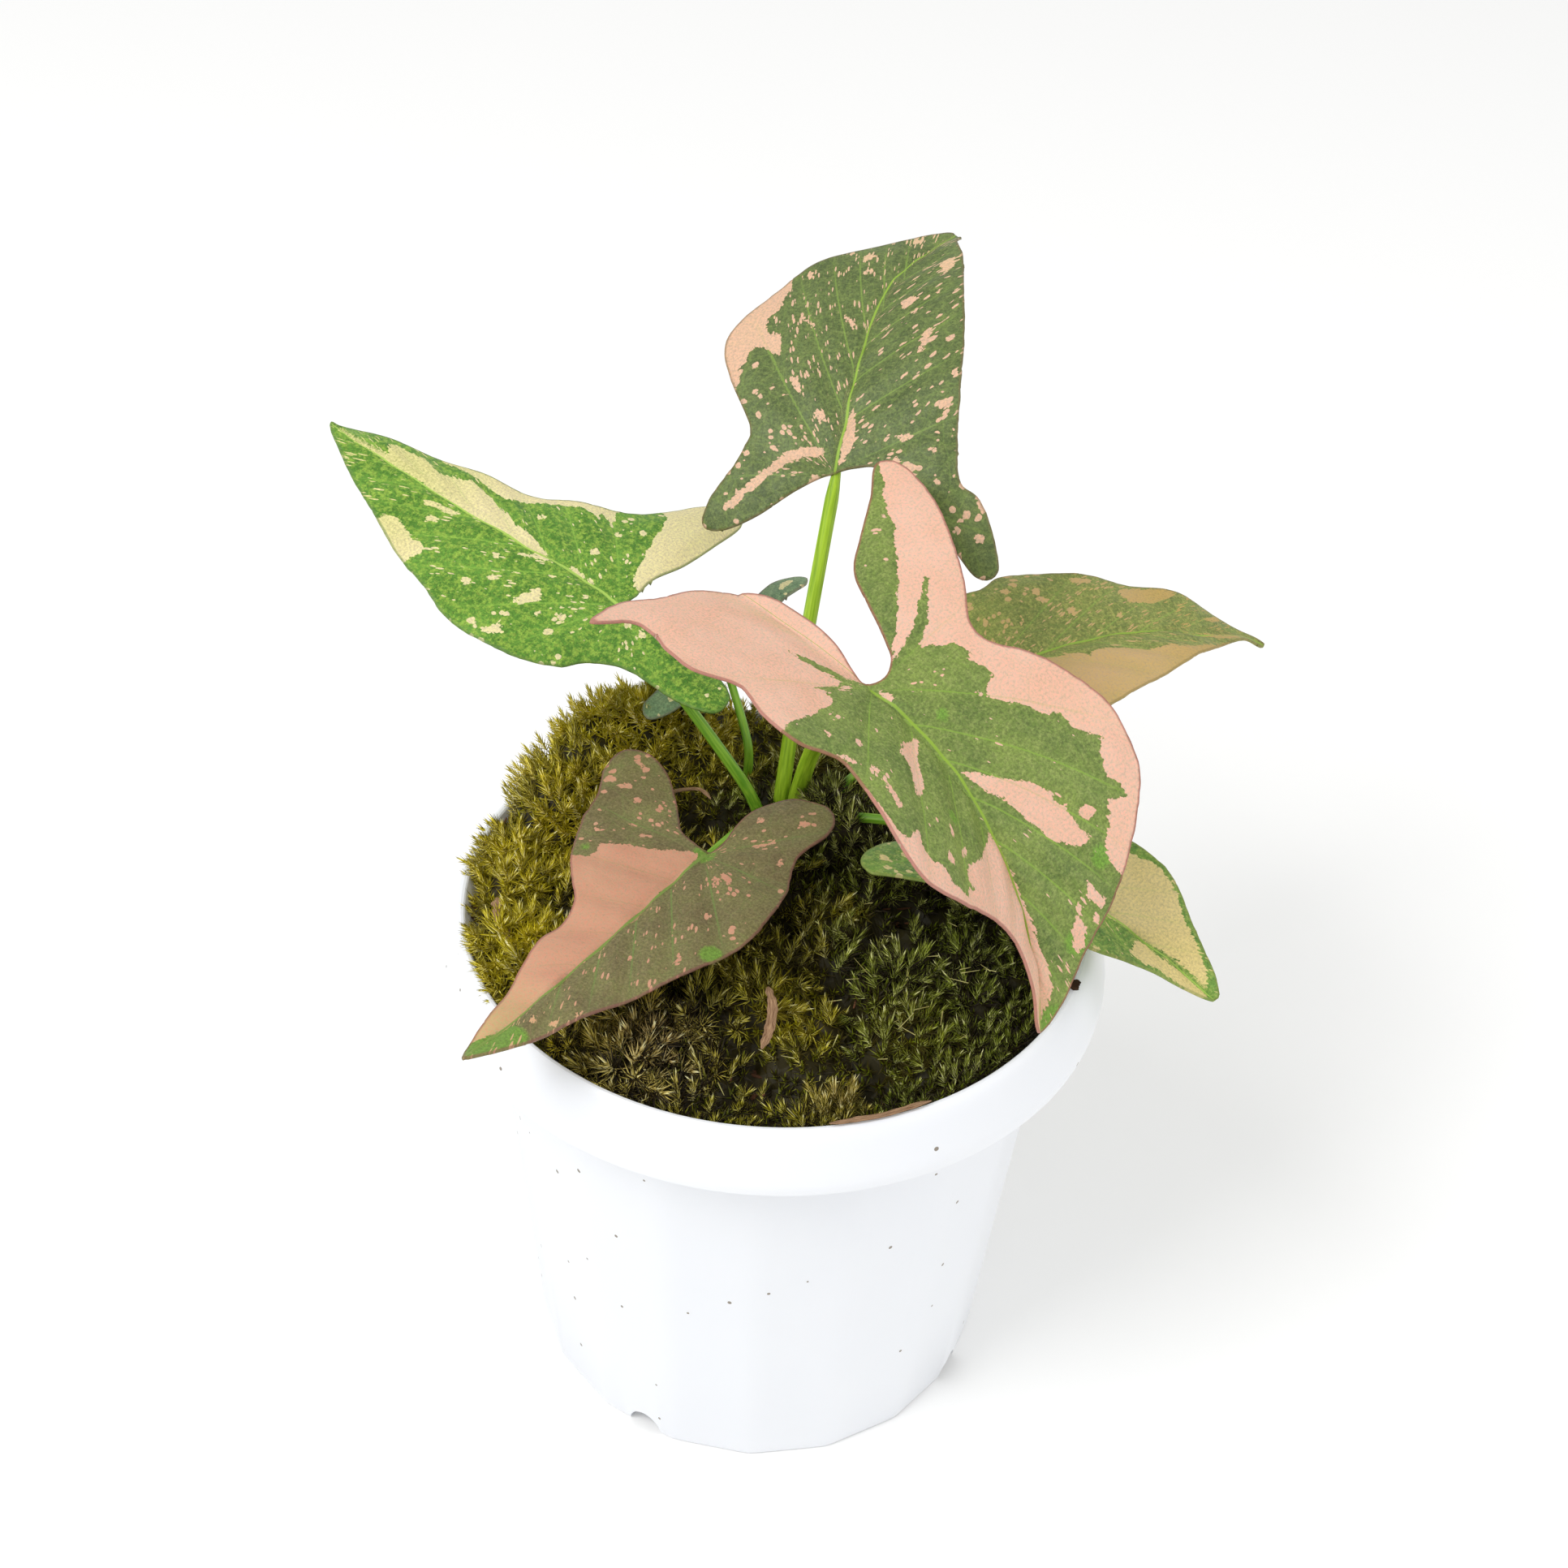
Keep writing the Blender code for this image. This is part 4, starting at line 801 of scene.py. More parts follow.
    # Skin grain of about 0.5 mm, painted into the colour as fine pale and dark points: painted glints and shade
    # where the skin catches the light
    skin = add_node(tree, "MapRange", {0: clouds["skin"], 1: 0.38, 2: 0.62, 3: 0.68, 4: 1.22})
    blade = add_node(tree, "HueSaturation", {"Color": blade, "Value": skin})
    # Side veins: 0.4 mm yellow-green lines in a lighter halo; in pale flesh they hardly show
    whole = add_node(tree, "Math", {0: count}, operation="ROUND")
    off_vein = add_node(tree, "Math", {0: count, 1: whole}, operation="SUBTRACT")
    off_vein = add_node(tree, "Math", {0: off_vein}, operation="ABSOLUTE")
    off_vein = add_node(tree, "Math", {0: off_vein, 1: gap}, operation="MULTIPLY")
    show = add_node(tree, "Math", {0: mask, 1: -0.72, 2: 1.0}, operation="MULTIPLY_ADD")
    halo = add_node(tree, "MapRange", {0: off_vein, 1: 1.8, 2: 0.2, 4: look["halo"]})
    halo = add_node(tree, "Math", {0: halo, 1: show}, operation="MULTIPLY")
    inset = add_node(tree, "MapRange", {0: rim, 1: 1.0, 2: 9.0, 3: 0.12, 4: 1.0})
    vein = add_node(tree, "MapRange", {0: off_vein, 1: 0.24, 2: 0.08, 4: look["vein_share"]},
                    interpolation_type="SMOOTHSTEP")
    vein = add_node(tree, "Math", {0: vein, 1: show}, operation="MULTIPLY")
    vein = add_node(tree, "Math", {0: vein, 1: inset}, operation="MULTIPLY")
    # Net of finest veins, cells of about 3 mm
    place = add_node(tree, "VectorMath", {0: grain, 1: (0.42, 0.26, 1.0)}, operation="MULTIPLY")
    net = add_node(tree, "TexVoronoi", {"Vector": place, "Scale": 1.0}, feature="DISTANCE_TO_EDGE")
    threads = add_node(tree, "MapRange", {0: net, 1: 0.05, 2: 0.0, 4: 0.16})
    threads = add_node(tree, "Math", {0: threads, 1: show}, operation="MULTIPLY")
    # Midrib: 1.6 mm wide at the notch and 0.4 mm near the tip; margin: a line about 0.4 mm wide
    ridge = add_node(tree, "Math", {0: rib}, operation="ABSOLUTE")
    glow = add_node(tree, "MapRange", {0: ridge, 1: 3.6, 2: 1.0, 4: 0.08})
    glow = add_node(tree, "Math", {0: glow, 1: show}, operation="MULTIPLY")
    midrib = add_node(tree, "MapRange", {0: ridge, 1: 0.95, 2: 0.5, 4: 0.95}, interpolation_type="SMOOTHSTEP")
    margin = add_node(tree, "MapRange", {0: rim, 1: 0.55, 2: 0.15, 4: look["margin_share"]},
                      interpolation_type="SMOOTHSTEP")
    layers = [(halo, "vein"), (vein, "vein"), (threads, "vein"), (glow, "vein"), (midrib, "midrib"),
              (margin, "margin")]
    for share, colour in layers + [(0.55, "under")] * under:
        blade = add_node(tree, "Mix", {0: share, 6: blade, 7: linear(look[colour])}, data_type="RGBA")
    # Cuticle: cells and the vein net lift the surface by a few hundredths of a millimetre
    gloss = add_node(tree, "MapRange", {0: clouds["gloss"], 1: 0.3, 2: 0.7, 3: 0.44, 4: 0.56})
    between = add_node(tree, "MapRange", {0: net, 1: 0.0, 2: 0.25})
    lift = add_node(tree, "Math", {0: between, 1: 0.8, 2: clouds["cells"]}, operation="MULTIPLY_ADD")
    relief = add_node(tree, "Bump", {"Height": lift, "Strength": 0.35, "Distance": 0.00018})
    set_inputs(tree, shader, {"Base Color": blade, "Roughness": gloss, "Normal": relief, "Subsurface Weight": 0.06,
                              "Subsurface Radius": (0.0010, 0.0012, 0.0005), "Subsurface Scale": 1.0})
    return material


def build_leaf(name, leaf, pale_patches, look, lime_patches=()):
    """Cuts the flat blade into small cells, records its patches and veins, then bends it."""
    builder = bmesh.new()
    outline = smooth_outline(leaf, MARGIN_STEP)
    for index, point in enumerate(outline):
        # The margin is very slightly wavy and toothed
        shake = 0.22 * noise.noise(Vector((point.x * 0.55, point.y * 0.55, 5.0)))
        outline[index] = point * (1.0 + shake / max(point.length, 12.0))
    builder.faces.new([builder.verts.new((point.x, point.y, 0.0)) for point in outline])
    for axis, normal in ((0, Vector((1, 0, 0))), (1, Vector((0, 1, 0)))):
        low, high = (pick(point[axis] for point in outline) for pick in (min, max))
        for index in range(math.ceil((low + 0.3) / BLADE_CELL), math.floor((high - 0.3) / BLADE_CELL) + 1):
            whole = builder.verts[:] + builder.edges[:] + builder.faces[:]
            bmesh.ops.bisect_plane(builder, geom=whole, dist=0.02, plane_co=normal * (index * BLADE_CELL),
                                   plane_no=normal)
    bmesh.ops.remove_doubles(builder, verts=builder.verts, dist=0.12)
    bmesh.ops.triangulate(builder, faces=builder.faces)
    places = np.array([vert.co.xy for vert in builder.verts], float)
    rim = np.maximum(depth_inside(places, [tuple(point) for point in outline]), 0.0)
    rib_line = np.array(leaf["midrib"], float)
    share = np.clip(places[:, 1] / leaf["length"], 0.0, 1.0)
    rib = (places[:, 0] - np.interp(places[:, 1], rib_line[:, 1], rib_line[:, 0])) / (0.44 - 0.26 * share)
    rib = np.where(places[:, 1] < -0.6, np.sign(rib + 1e-6) * np.maximum(np.abs(rib), 8.0), rib)
    count, v, u = vein_line(places, leaf)
    step = 0.05
    slope_s = vein_line(places + (step, 0.0), leaf)[0] - count
    slope_t = vein_line(places + (0.0, step), leaf)[0] - count
    gap = np.clip(step / np.maximum(np.hypot(slope_s, slope_t), 1e-4), 1.0, 14.0)
    off_vein = np.abs(count - np.round(count)) * gap
    # Flesh stands a little proud between the veins; the midrib and veins lie in soft grooves
    fade = np.clip(rim / 4.0, 0.0, 1.0)
    swell = (np.clip(off_vein / 3.0, 0.0, 1.0) ** 1.3 * 0.55 - 0.40 * np.exp(-(rib / 2.6) ** 2)) * fade
    ripple = [0.35 * noise.noise(Vector((s * 0.09, t * 0.09, 2.0 + len(name)))) for s, t in places]
    wave = np.exp(-rim / 5.0) * leaf.get("ruffle", 0.5) * np.sin(places[:, 1] * 0.32 + np.sign(places[:, 0]) * 1.3)
    swell = swell + np.array(ripple) + wave
    axes = leaf_axes(leaf)
    for vert in builder.verts:
        vert.co = blade_point(leaf, axes, vert.co.x, vert.co.y)
    builder.normal_update()
    if sum((face.normal * face.calc_area() for face in builder.faces), Vector()).dot(axes[2]) < 0.0:
        bmesh.ops.reverse_faces(builder, faces=builder.faces)
        builder.normal_update()
    for vert, rise in zip(builder.verts, swell):
        vert.co += vert.normal * rise
    blade = add_piece("blade_" + name, builder,
                      [blade_finish("variegated_blade_" + name, look),
                       blade_finish("blade_underside_" + name, look, under=True)], 60.0)
    mesh = blade.data
    left_half = places[:, 0] < 0
    zeros = np.zeros(len(places))
    set_field(mesh, "flat_place", np.column_stack([places, zeros]), "FLOAT_VECTOR")
    set_field(mesh, "vein_grain", np.column_stack([v + 60.0 * left_half, u, zeros]), "FLOAT_VECTOR")
    for field, values in (("pale", patch_depth(places, pale_patches)), ("lime", patch_depth(places, lime_patches)),
                          ("rib", np.clip(rib, -8.0, 8.0)), ("rim", rim), ("vein_count", count), ("vein_gap", gap)):
        set_field(mesh, field, values)
    sheet = blade.modifiers.new("thickness", "SOLIDIFY")
    sheet.thickness = BLADE_THICKNESS * MILLIMETRE
    sheet.offset = 0.0
    sheet.material_offset = 1
    sheet.material_offset_rim = 0
    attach(blade, "root")
    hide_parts("leaf_" + name)


# Top leaf: the tallest, olive green with a peach-coloured patch down its left margin, a pink
# stripe along one lobe and many flecks.
TOP_LEAF = dict(
    junction=(7.7, 54.6, 174.0), heading=86, pitch=45, roll=13, droop=54, lobe_droop=34,
    fold=(6, 8), fold_gain=(8, 6), curl=13, sweep=12, length=66, half_width=25, sinus=(0, 0), tip=(0, 68),
    right=[(4, 1), (9, 1), (15, -4), (23, -12), (29, -19), (33, -18), (32, -11), (29, -4), (25, -1), (24, 4),
           (23, 11), (22, 19), (20, 28), (17, 37), (13, 46), (9, 54), (4, 61)],
    left=[(3, -1), (8, -4), (15, -9), (22, -12), (26, -11), (25, -6), (22, -1), (19, 4), (18, 8), (21, 13),
          (25, 19), (28, 26), (26, 34), (22, 42), (18, 49), (13, 55), (7, 61)],
    foot=(0.0, 29.0), arch=[(0.6, 30.5, 118.0), (3.2, 39.0, 142.0)], stalk=1.75,
    midrib=[(0, -2), (0, 0), (.6, 10), (.4, 15), (0, 25), (-.8, 32), (-1.6, 40), (-2, 47), (-1, 55), (0, 64)],
    vein_rise=(0.55, 1.35),
    veins=([-26, -19, -10, 0, 10, 19, 28, 37, 47, 57], [-30, -22, -12, 0, 12, 21, 29, 38, 47, 57]))
TOP_PALE = [
    [(-21.1, 43.3), (-20, 39.4), (-20.4, 36.9), (-19.5, 34.4), (-21.4, 32.2), (-21.1, 30.1), (-20, 29),
     (-17.1, 27.9), (-16.4, 25.8), (-15.7, 23.3), (-18.2, 24.9), (-20.7, 25.4), (-22.9, 25.9), (-22.5, 24.4),
     (-22.1, 21.5), (-23.6, 20.4), (-22.5, 18.6), (-23.6, 17.6), (-21.8, 13.6), (-19.3, 10.1), (-25, 8),
     (-36, 20), (-36, 34), (-26, 48)], [(-15.4, 34.1), (-13.2, 32.9), (-11.1, 31.1), (-8.6, 28.8), (-10.4, 30.1),
     (-13.6, 31.9), (-15, 32.9)], [(-6.8, 34.4), (-5.7, 34.2), (-2.9, 31.5), (-3.9, 31.1), (-5.7, 32.9)],
    [(-12.9, 19.2), (-10.7, 19.2), (-9.6, 16.9), (-8.8, 15.4), (-10, 16.1), (-11.8, 17.9)], [(-14.3, 16.1),
     (-12.1, 15.1), (-13.2, 14.9)], [(-6.1, 12.6), (-4.3, 12.2), (-2.9, 9.4), (-3.6, 9.4), (-5.4, 11.1)],
    (-7.5, 47.2, .8), (-9.6, 51.9, 1.1), (-13.9, 52.8, .8), (-17.9, 44.7, .9), (-4.3, 60.8, .9), [(-2.5, 4.7),
     (-4.3, 5.1), (-8.2, 4.4), (-11.8, 2.2), (-15, -.3), (-17.5, -2.8), (-20.4, -6), (-22.1, -7.1),
     (-21.8, -8.6), (-19.6, -7.1), (-17.9, -5.6), (-15.7, -3.9), (-13.6, -1.4), (-10.4, 1.1), (-6.8, 2.6),
     (-3.2, 3.3)], [(-4.6, -.3), (-2.9, -.6), (-3, -2), (-4, -2.8), (-5, -2)], [(1.1, 15.1), (1.9, 13.3),
     (2.6, 10.8), (3.4, 7.9), (3.1, 5.1), (1.8, 2.6), (.7, 1.1), (.7, 5.8), (.9, 10.1)], [(10.7, 7.2),
     (13.2, 8.3), (15.2, 8.1), (15, 7.2), (12.5, 6.7)], [(11.1, 2.9), (12.1, 3.5), (13.8, 2.9), (12.9, 2.1),
     (11.4, 2.1)], [(17.1, 5.8), (19.8, 5.4), (19.5, 4.6)], [(11.8, 31.5), (12.6, 31.1), (12.6, 28.6),
     (11.6, 27.2), (10.9, 28.6)], (12, 26.1, .8), (16.8, 29, .8), [(3.6, 38.3), (5, 39.7), (7.1, 39.4),
     (6.1, 37.6), (4.6, 36.5)], (7.5, 35.8, .8), [(19.8, 22.5), (20.8, 22), (21, 20), (20, 19.8)], [(5.7, 50.8),
     (6.4, 52.9), (7.9, 53.3), (8.9, 49.4), (8.4, 45.4), (7.5, 47.9)], [(2.1, 49.4), (3.2, 51.1), (4.4, 51.4),
     (3.9, 49.7)], [(9.6, 42.2), (10.7, 40.4), (10, 40.2)], [(20, -.3), (21.8, -1.4), (20.8, -1.9)],
    (29.3, -11.4, .9)]
OLIVE_LOOK = dict(green=("#505f33", "#647441", "#7f8d4c"), mottle=0.45, flecks=0.25, dots=0.10,
                  pale=("#e6c4a5", "#e3bfa0", "#ecd0a0", "#cf9f80"), tip_from=40,
                  vein="#8fae4a", halo=0.05, vein_share=0.42, midrib="#93b441",
                  margin="#7d6a4c", margin_share=0.55, under="#9fb07f")
build_leaf("top", TOP_LEAF, TOP_PALE, OLIVE_LOOK)

# Left leaf: bright mottled green with a cream stripe down the midrib and cream right margin
# and lobe.
LEFT_LEAF = dict(
    junction=(-33.1, 39.2, 151.0), heading=150, pitch=18, roll=5, droop=0, lobe_droop=0,
    fold=(5, 2), fold_gain=(-30, -4), curl=12, sweep=-5, length=68, half_width=25, sinus=(1, -1), tip=(0, 69),
    right=[(4, -1), (10, -1), (18, -3), (28, -4), (38, -4), (41, -1), (38, 5), (31, 9), (25, 13), (21, 18),
           (18, 24), (14, 30), (12, 36), (11, 42), (10, 48), (8, 54), (5, 61)],
    left=[(-1, -8), (0, -16), (0, -24), (3, -29), (8, -29), (10, -24), (11, -17), (12, -10), (15, -4), (20, 0),
          (24, 7), (25, 15), (25, 23), (22, 31), (19, 39), (15, 47), (11, 54), (6, 62)],
    foot=(-3.6, 24.8), arch=[(-5.0, 25.4, 114.0), (-11.0, 28.2, 123.0)], stalk=1.4,
    midrib=[(.6, -2), (0, 0), (.2, 10), (-.8, 18), (-1.6, 28), (-2, 38), (-2, 48), (-1.3, 57), (-.9, 67)],
    vein_rise=(0.8, 1.05),
    veins=([-22, -11, 0, 9, 18, 27, 37, 48, 58], [-32, -22, -12, -5, 0, 10, 20, 30, 40, 50, 60]))
LEFT_PALE = [
    [(-1.1, 67), (-.4, 67), (-.1, 60.3), (0, 56), (2.6, 57.8), (4.9, 57.1), (4.9, 54.6), (5.1, 50.3),
     (3.7, 47.4), (3.4, 45.3), (4.9, 44.6), (5.1, 42.4), (6.1, 41), (5.9, 38.1), (4.8, 33.9), (3.7, 31),
     (1.9, 26.7), (1.2, 21), (.4, 18.1), (-.6, 17.4), (-1.1, 21), (-1.6, 28.1), (-2, 35.3), (-2, 42.4),
     (-1.8, 49.6), (-1.3, 56.7)], [(.1, 13), (1.2, 13), (1.1, 8.9), (.5, 4.9), (.1, 8.9)], [(-4.5, 22.1),
     (-3.4, 21.7), (-.9, 18.5), (-.6, 15.6), (-2.4, 17.8), (-4.1, 20.6)], [(-14.9, 16.4), (-12.7, 15.3),
     (-9.1, 14.4), (-8.2, 13.6), (-9.9, 11.7), (-12, 13), (-13.4, 13.9), (-14.1, 15.3)], [(-14.9, 10.3),
     (-14.1, 11.4), (-12.5, 10.4), (-13.1, 9.7)], [(-23.4, 16), (-22.4, 16.9), (-22, 15.3), (-19.6, 14.2),
     (-20.9, 13), (-21.3, 12.1), (-22.7, 13.9)], [(-14.9, 47.1), (-13.1, 46.4), (-12.5, 44.2), (-13.1, 41.7),
     (-14.5, 39.2), (-14.4, 36), (-15.9, 35.5), (-17.4, 36.4), (-19.1, 37.1), (-30, 36), (-28, 50), (-18, 53)],
    [(-10.1, 40.3), (-7.7, 40.6), (-7.2, 38.5), (-8.4, 38.1), (-9.1, 39.6)], [(-6.3, 43.1), (-4.9, 43.1),
     (-3.8, 40.3), (-3.4, 36.4), (-4.9, 37.4), (-5.2, 40.3)], [(20.5, 15.3), (18.4, 14.6), (18, 17.4),
     (16.4, 17.8), (16.6, 21.7), (14.8, 24.6), (11.9, 27.8), (9.8, 30.3), (7, 33), (8, 40), (9, 49), (14, 50),
     (20, 34), (26, 16)], [(5.5, .6), (6.9, 2.1), (11.9, 3.5), (16.2, 4.9), (21.9, 6), (26.9, 7.1), (28.4, 9.6),
     (30.5, 9.2), (34, 12), (48, 4), (48, -9), (12, -9), (4, -4)], (-16.3, 25.1, .9), (-7.5, 24.9, .8),
    (-12.2, 21.9, .9), (-4.1, 13.9, .7), (-15.2, 6.1, 1.0), (-10.9, 6.1, .9), (-3.3, 6.1, .7), (8, 25.1, .8),
    (7.3, 11.7, .9), (15.5, 11.6, .8), (19.4, 8.1, .8), [(-4.1, -4), (-3.1, -2.9), (-1.6, -2.9), (-1.5, -3.9),
     (-3.4, -4.9)], (-3.4, -7.6, .9)]
BRIGHT_LOOK = dict(green=("#47771f", "#629432", "#a3c04a"), mottle=0.6, flecks=0.15, dots=0.13,
                   pale=("#f1e4b4", "#ecdcae", "#d9d683", "#d3c98a"), tip_from=34,
                   vein="#8fbc48", halo=0.10, vein_share=0.5, midrib="#a8c95a",
                   margin="#5f7d3a", margin_share=0.6, under="#9db884")
build_leaf("left", LEFT_LEAF, LEFT_PALE, BRIGHT_LOOK, [(33, 1, 6.0), (39, 0, 4.0)])

# Front leaf: the largest blade, hanging out over the pot's rim. Over half of it is pale pink,
# with green left round the veins, and a thin maroon line runs along its margin.
FRONT_LEAF = dict(
    junction=(15.1, -5.4, 167.0), heading=-37, pitch=-16, roll=3, droop=62, lobe_droop=10,
    fold=(13, 18), fold_gain=(10, 10), curl=0, sweep=7, length=76, half_width=32, sinus=(-0.5, -1.5), tip=(.6, 71.2),
    right=[(-1, -5), (-3, -11), (-4, -19), (-3, -27), (2, -33), (9, -36), (18, -37), (27, -39), (37, -37),
           (29, -34), (28, -30), (30, -25), (31, -19), (26, -13), (26, -10), (29, -4), (29, 3), (24, 8),
           (24, 13), (28, 24), (27, 32), (20, 39), (12, 45), (6, 52), (4.8, 60), (3.6, 67)],
    left=[(4, 0), (8, -2), (11, -7), (14, -13), (18, -19), (25, -23), (33, -27), (40, -31), (43, -27), (41, -19),
          (36, -11), (30, -3), (24, 3), (23, 6.5), (24, 9), (27, 12.5), (30, 17.5), (33, 26), (33.2, 33),
          (32, 39), (27, 45), (19, 53.5), (10, 61), (4.5, 67.5)],
    foot=(3.2, 26.2), arch=[(3.6, 25.8, 118.0), (7.6, 19.0, 138.0)], stalk=1.95, ruffle=0.3,
    midrib=[(-.2, -2), (0, 0), (-.7, 5), (-1, 15), (-1.2, 21), (-.7, 33), (-.4, 44), (0, 55), (.8, 70)],
    vein_rise=(0.62, 0.95),
    veins=([-24, -13, 0, 10, 20, 30, 41, 52, 62], [-30, -19.5, -9, 0, 9, 17, 25, 34, 44, 55, 64]))
FRONT_PALE = [
    [(-20.5, 51), (-19.5, 48.4), (-19.5, 45.5), (-21.4, 44.1), (-22.3, 42.6), (-23.4, 39.4), (-25, 40.1),
     (-26.6, 40.7), (-27.9, 41.2), (-27.4, 39.1), (-26.4, 37.6), (-25.6, 36.4), (-26.2, 34.4), (-26.9, 32.3),
     (-28.4, 31), (-26.4, 29.3), (-24.6, 27.3), (-24.2, 24.4), (-21.8, 22.6), (-20, 20.5), (-17.5, 17.6),
     (-15.4, 14.8), (-12.9, 12.3), (-15.4, 13.7), (-16.4, 12.6), (-19.1, 13.4), (-18.6, 10.9), (-16.9, 8),
     (-18.4, 7.6), (-18.4, 4.8), (-15.7, 2.3), (-12.5, .3), (-17.5, -1.6), (-20.4, -3.8), (-23.9, -6.3),
     (-26.9, -9.3), (-22.5, -6.9), (-18.2, -4.5), (-15.4, -2.9), (-10.4, -1.7), (-7.5, -1.2), (-8, -1.8),
     (-14.6, -6.3), (-21, -11.3), (-26, -15.6), (-30.7, -19.9), (-34.3, -24.9), (-38.2, -27.7), (-40, -30.5),
     (-52, -36), (-52, 0), (-46, 30), (-38, 54), (-25, 60)], [(-8.6, 60.1), (-7.9, 58), (-8.4, 55.5),
     (-10, 53.7), (-11.1, 51.6), (-11.8, 52.3), (-10.7, 54.3), (-11.2, 56.9), (-10.4, 59.4)], [(-16.4, 54.3),
     (-15, 54.4), (-12.9, 51.6), (-13.6, 49.4), (-14.6, 51.6), (-15.7, 53)], (-13.5, 56, .9), [(-17.1, 44.1),
     (-14.6, 43.4), (-11.8, 41.6), (-10, 39.8), (-8.9, 37.3), (-7.1, 33.4), (-5, 29.1), (-3.2, 25.5),
     (-1.6, 21.7), (-4.3, 23.7), (-7.1, 26.6), (-10.4, 29.1), (-13.1, 31.6), (-14.3, 34.4), (-15.4, 37.3),
     (-16.4, 40.9), (-17.5, 43)], (-18.9, 39.6, 1.4), (-15.4, 36.9, .6), [(-2.1, 4.1), (-.5, 4.8), (-.4, 1.6),
     (-1.2, 1.2), (-1.9, 2.6)], [(-.4, 33), (.7, 33.4), (2.9, 34.8), (8.2, 35.5), (13.2, 34.8), (15.2, 36.2),
     (14.6, 38.4), (16.8, 37.6), (18.6, 38.2), (20.7, 35.1), (20.9, 31.9), (22.5, 30.1), (22.6, 27.3),
     (21.2, 25), (26.1, 24.8), (26.1, 21.6), (25, 17.3), (23.6, 10), (30, 9), (36, 24), (32, 40), (20, 48),
     (12, 57), (8, 73), (1.6, 73), (.7, 68.7), (-1.4, 66.6), (-2.6, 63.7), (-2.4, 60.1), (-1.6, 56.6),
     (-1.1, 50)], [(16.4, 21.6), (14.3, 20.5), (12.1, 18.4), (10, 15.9), (9.6, 13), (6.8, 11.9), (3.9, 11.9),
     (1.2, 12.3), (1.4, 13.4), (4.3, 14.4), (7.1, 16.9), (10, 19.8), (12.5, 20.9)], [(21.1, 20.9), (22.1, 20.5),
     (20.7, 17.3), (20, 14.8), (19.5, 16.6), (20.4, 19.4)], [(17.5, 14.1), (19.3, 13.9), (19.3, 12.4),
     (18.2, 12.4)], [(20.7, 11.9), (22.1, 10.1), (24.6, 6.9), (23.2, 7.6), (21.4, 9.1), (20.4, 11.2)],
    [(9.6, 32.1), (11.5, 33.1), (13.4, 32.9), (12, 32.3)], (17.5, 31.8, .9), [(20, 4), (21.2, 4.5), (22.5, 4),
     (21.5, 3.2)], (16.6, 7.9, .8), [(28.9, -.6), (21.4, -.6), (13.2, -.6), (11.4, -1.3), (11.6, -2.7),
     (10.7, -3.4), (11.9, -5.2), (10, -4.9), (8.2, -4.5), (6.4, -3.4), (4.4, -3.8), (5.5, -6.3), (7.0, -9.9),
     (7.9, -14.4), (6.4, -13.2), (4.9, -9.9), (3.3, -6.3), (2.2, -4.0), (.5, -2), (-4, -4), (-7, -12), (-9, -28),
     (0, -42), (30, -46), (46, -38), (38, -14), (36, -.6)], [(2.9, -2), (5, -1.9), (7.9, -3), (6, -3.2),
     (3.5, -2.8)]]
PINK_LOOK = dict(green=("#5c7034", "#7f9145", "#98a45c"), mottle=0.4, flecks=0.12, dots=0.02,
                 pale=("#f2d2b9", "#ecc4a6", "#e6bd8b", "#d39480"), tip_from=56,
                 vein="#86a83e", halo=0.07, vein_share=0.62, midrib="#8cab38",
                 margin="#9c5a52", margin_share=0.7, under="#b9b48f")
build_leaf("front", FRONT_LEAF, FRONT_PALE, PINK_LOOK,
           [(-2, 70, 3.0), (-9, 58, 2.5), (-18, 47, 2.0), (-6, 12, 1.2), (9, 27, 1.4)])

# Right leaf: a narrow blade reaching out past the pot, olive above its midrib, peach below it
# and ochre towards its lower margin.
RIGHT_LEAF = dict(
    junction=(41.0, 42.8, 136.0), heading=24, pitch=14, roll=0, droop=42, lobe_droop=10,
    fold=(7, 10), fold_gain=(2, 4), curl=9, sweep=-3, length=62, half_width=22, sinus=(0, -1), tip=(0, 69),
    right=[(3, -1), (8, -4), (14, -9), (20, -14), (23, -12), (22, -5), (20, 1), (20, 7), (21, 14), (20, 20),
           (17, 28), (13, 37), (9, 45), (5, 53), (2, 62)],
    left=[(3, -1), (8, -3), (15, -7), (22, -11), (26, -9), (27, -3), (24, 3), (22, 8), (24, 13), (23, 19),
          (20, 26), (17, 33), (14, 40), (11, 49), (6, 57), (2, 63)],
    foot=(6.5, 23.0), arch=[(8.6, 24.0, 114.5), (18.0, 29.5, 123.0)], stalk=1.3,
    midrib=[(0, -2), (0, 0), (-.8, 12), (-.5, 35), (1.4, 46), (1.5, 50), (0, 66)],
    vein_rise=(0.9, 1.5),
    veins=([-24, -12, 0, 11, 22, 33, 44, 54], [-28, -20, -10, 0, 11, 22, 33, 44, 54]))
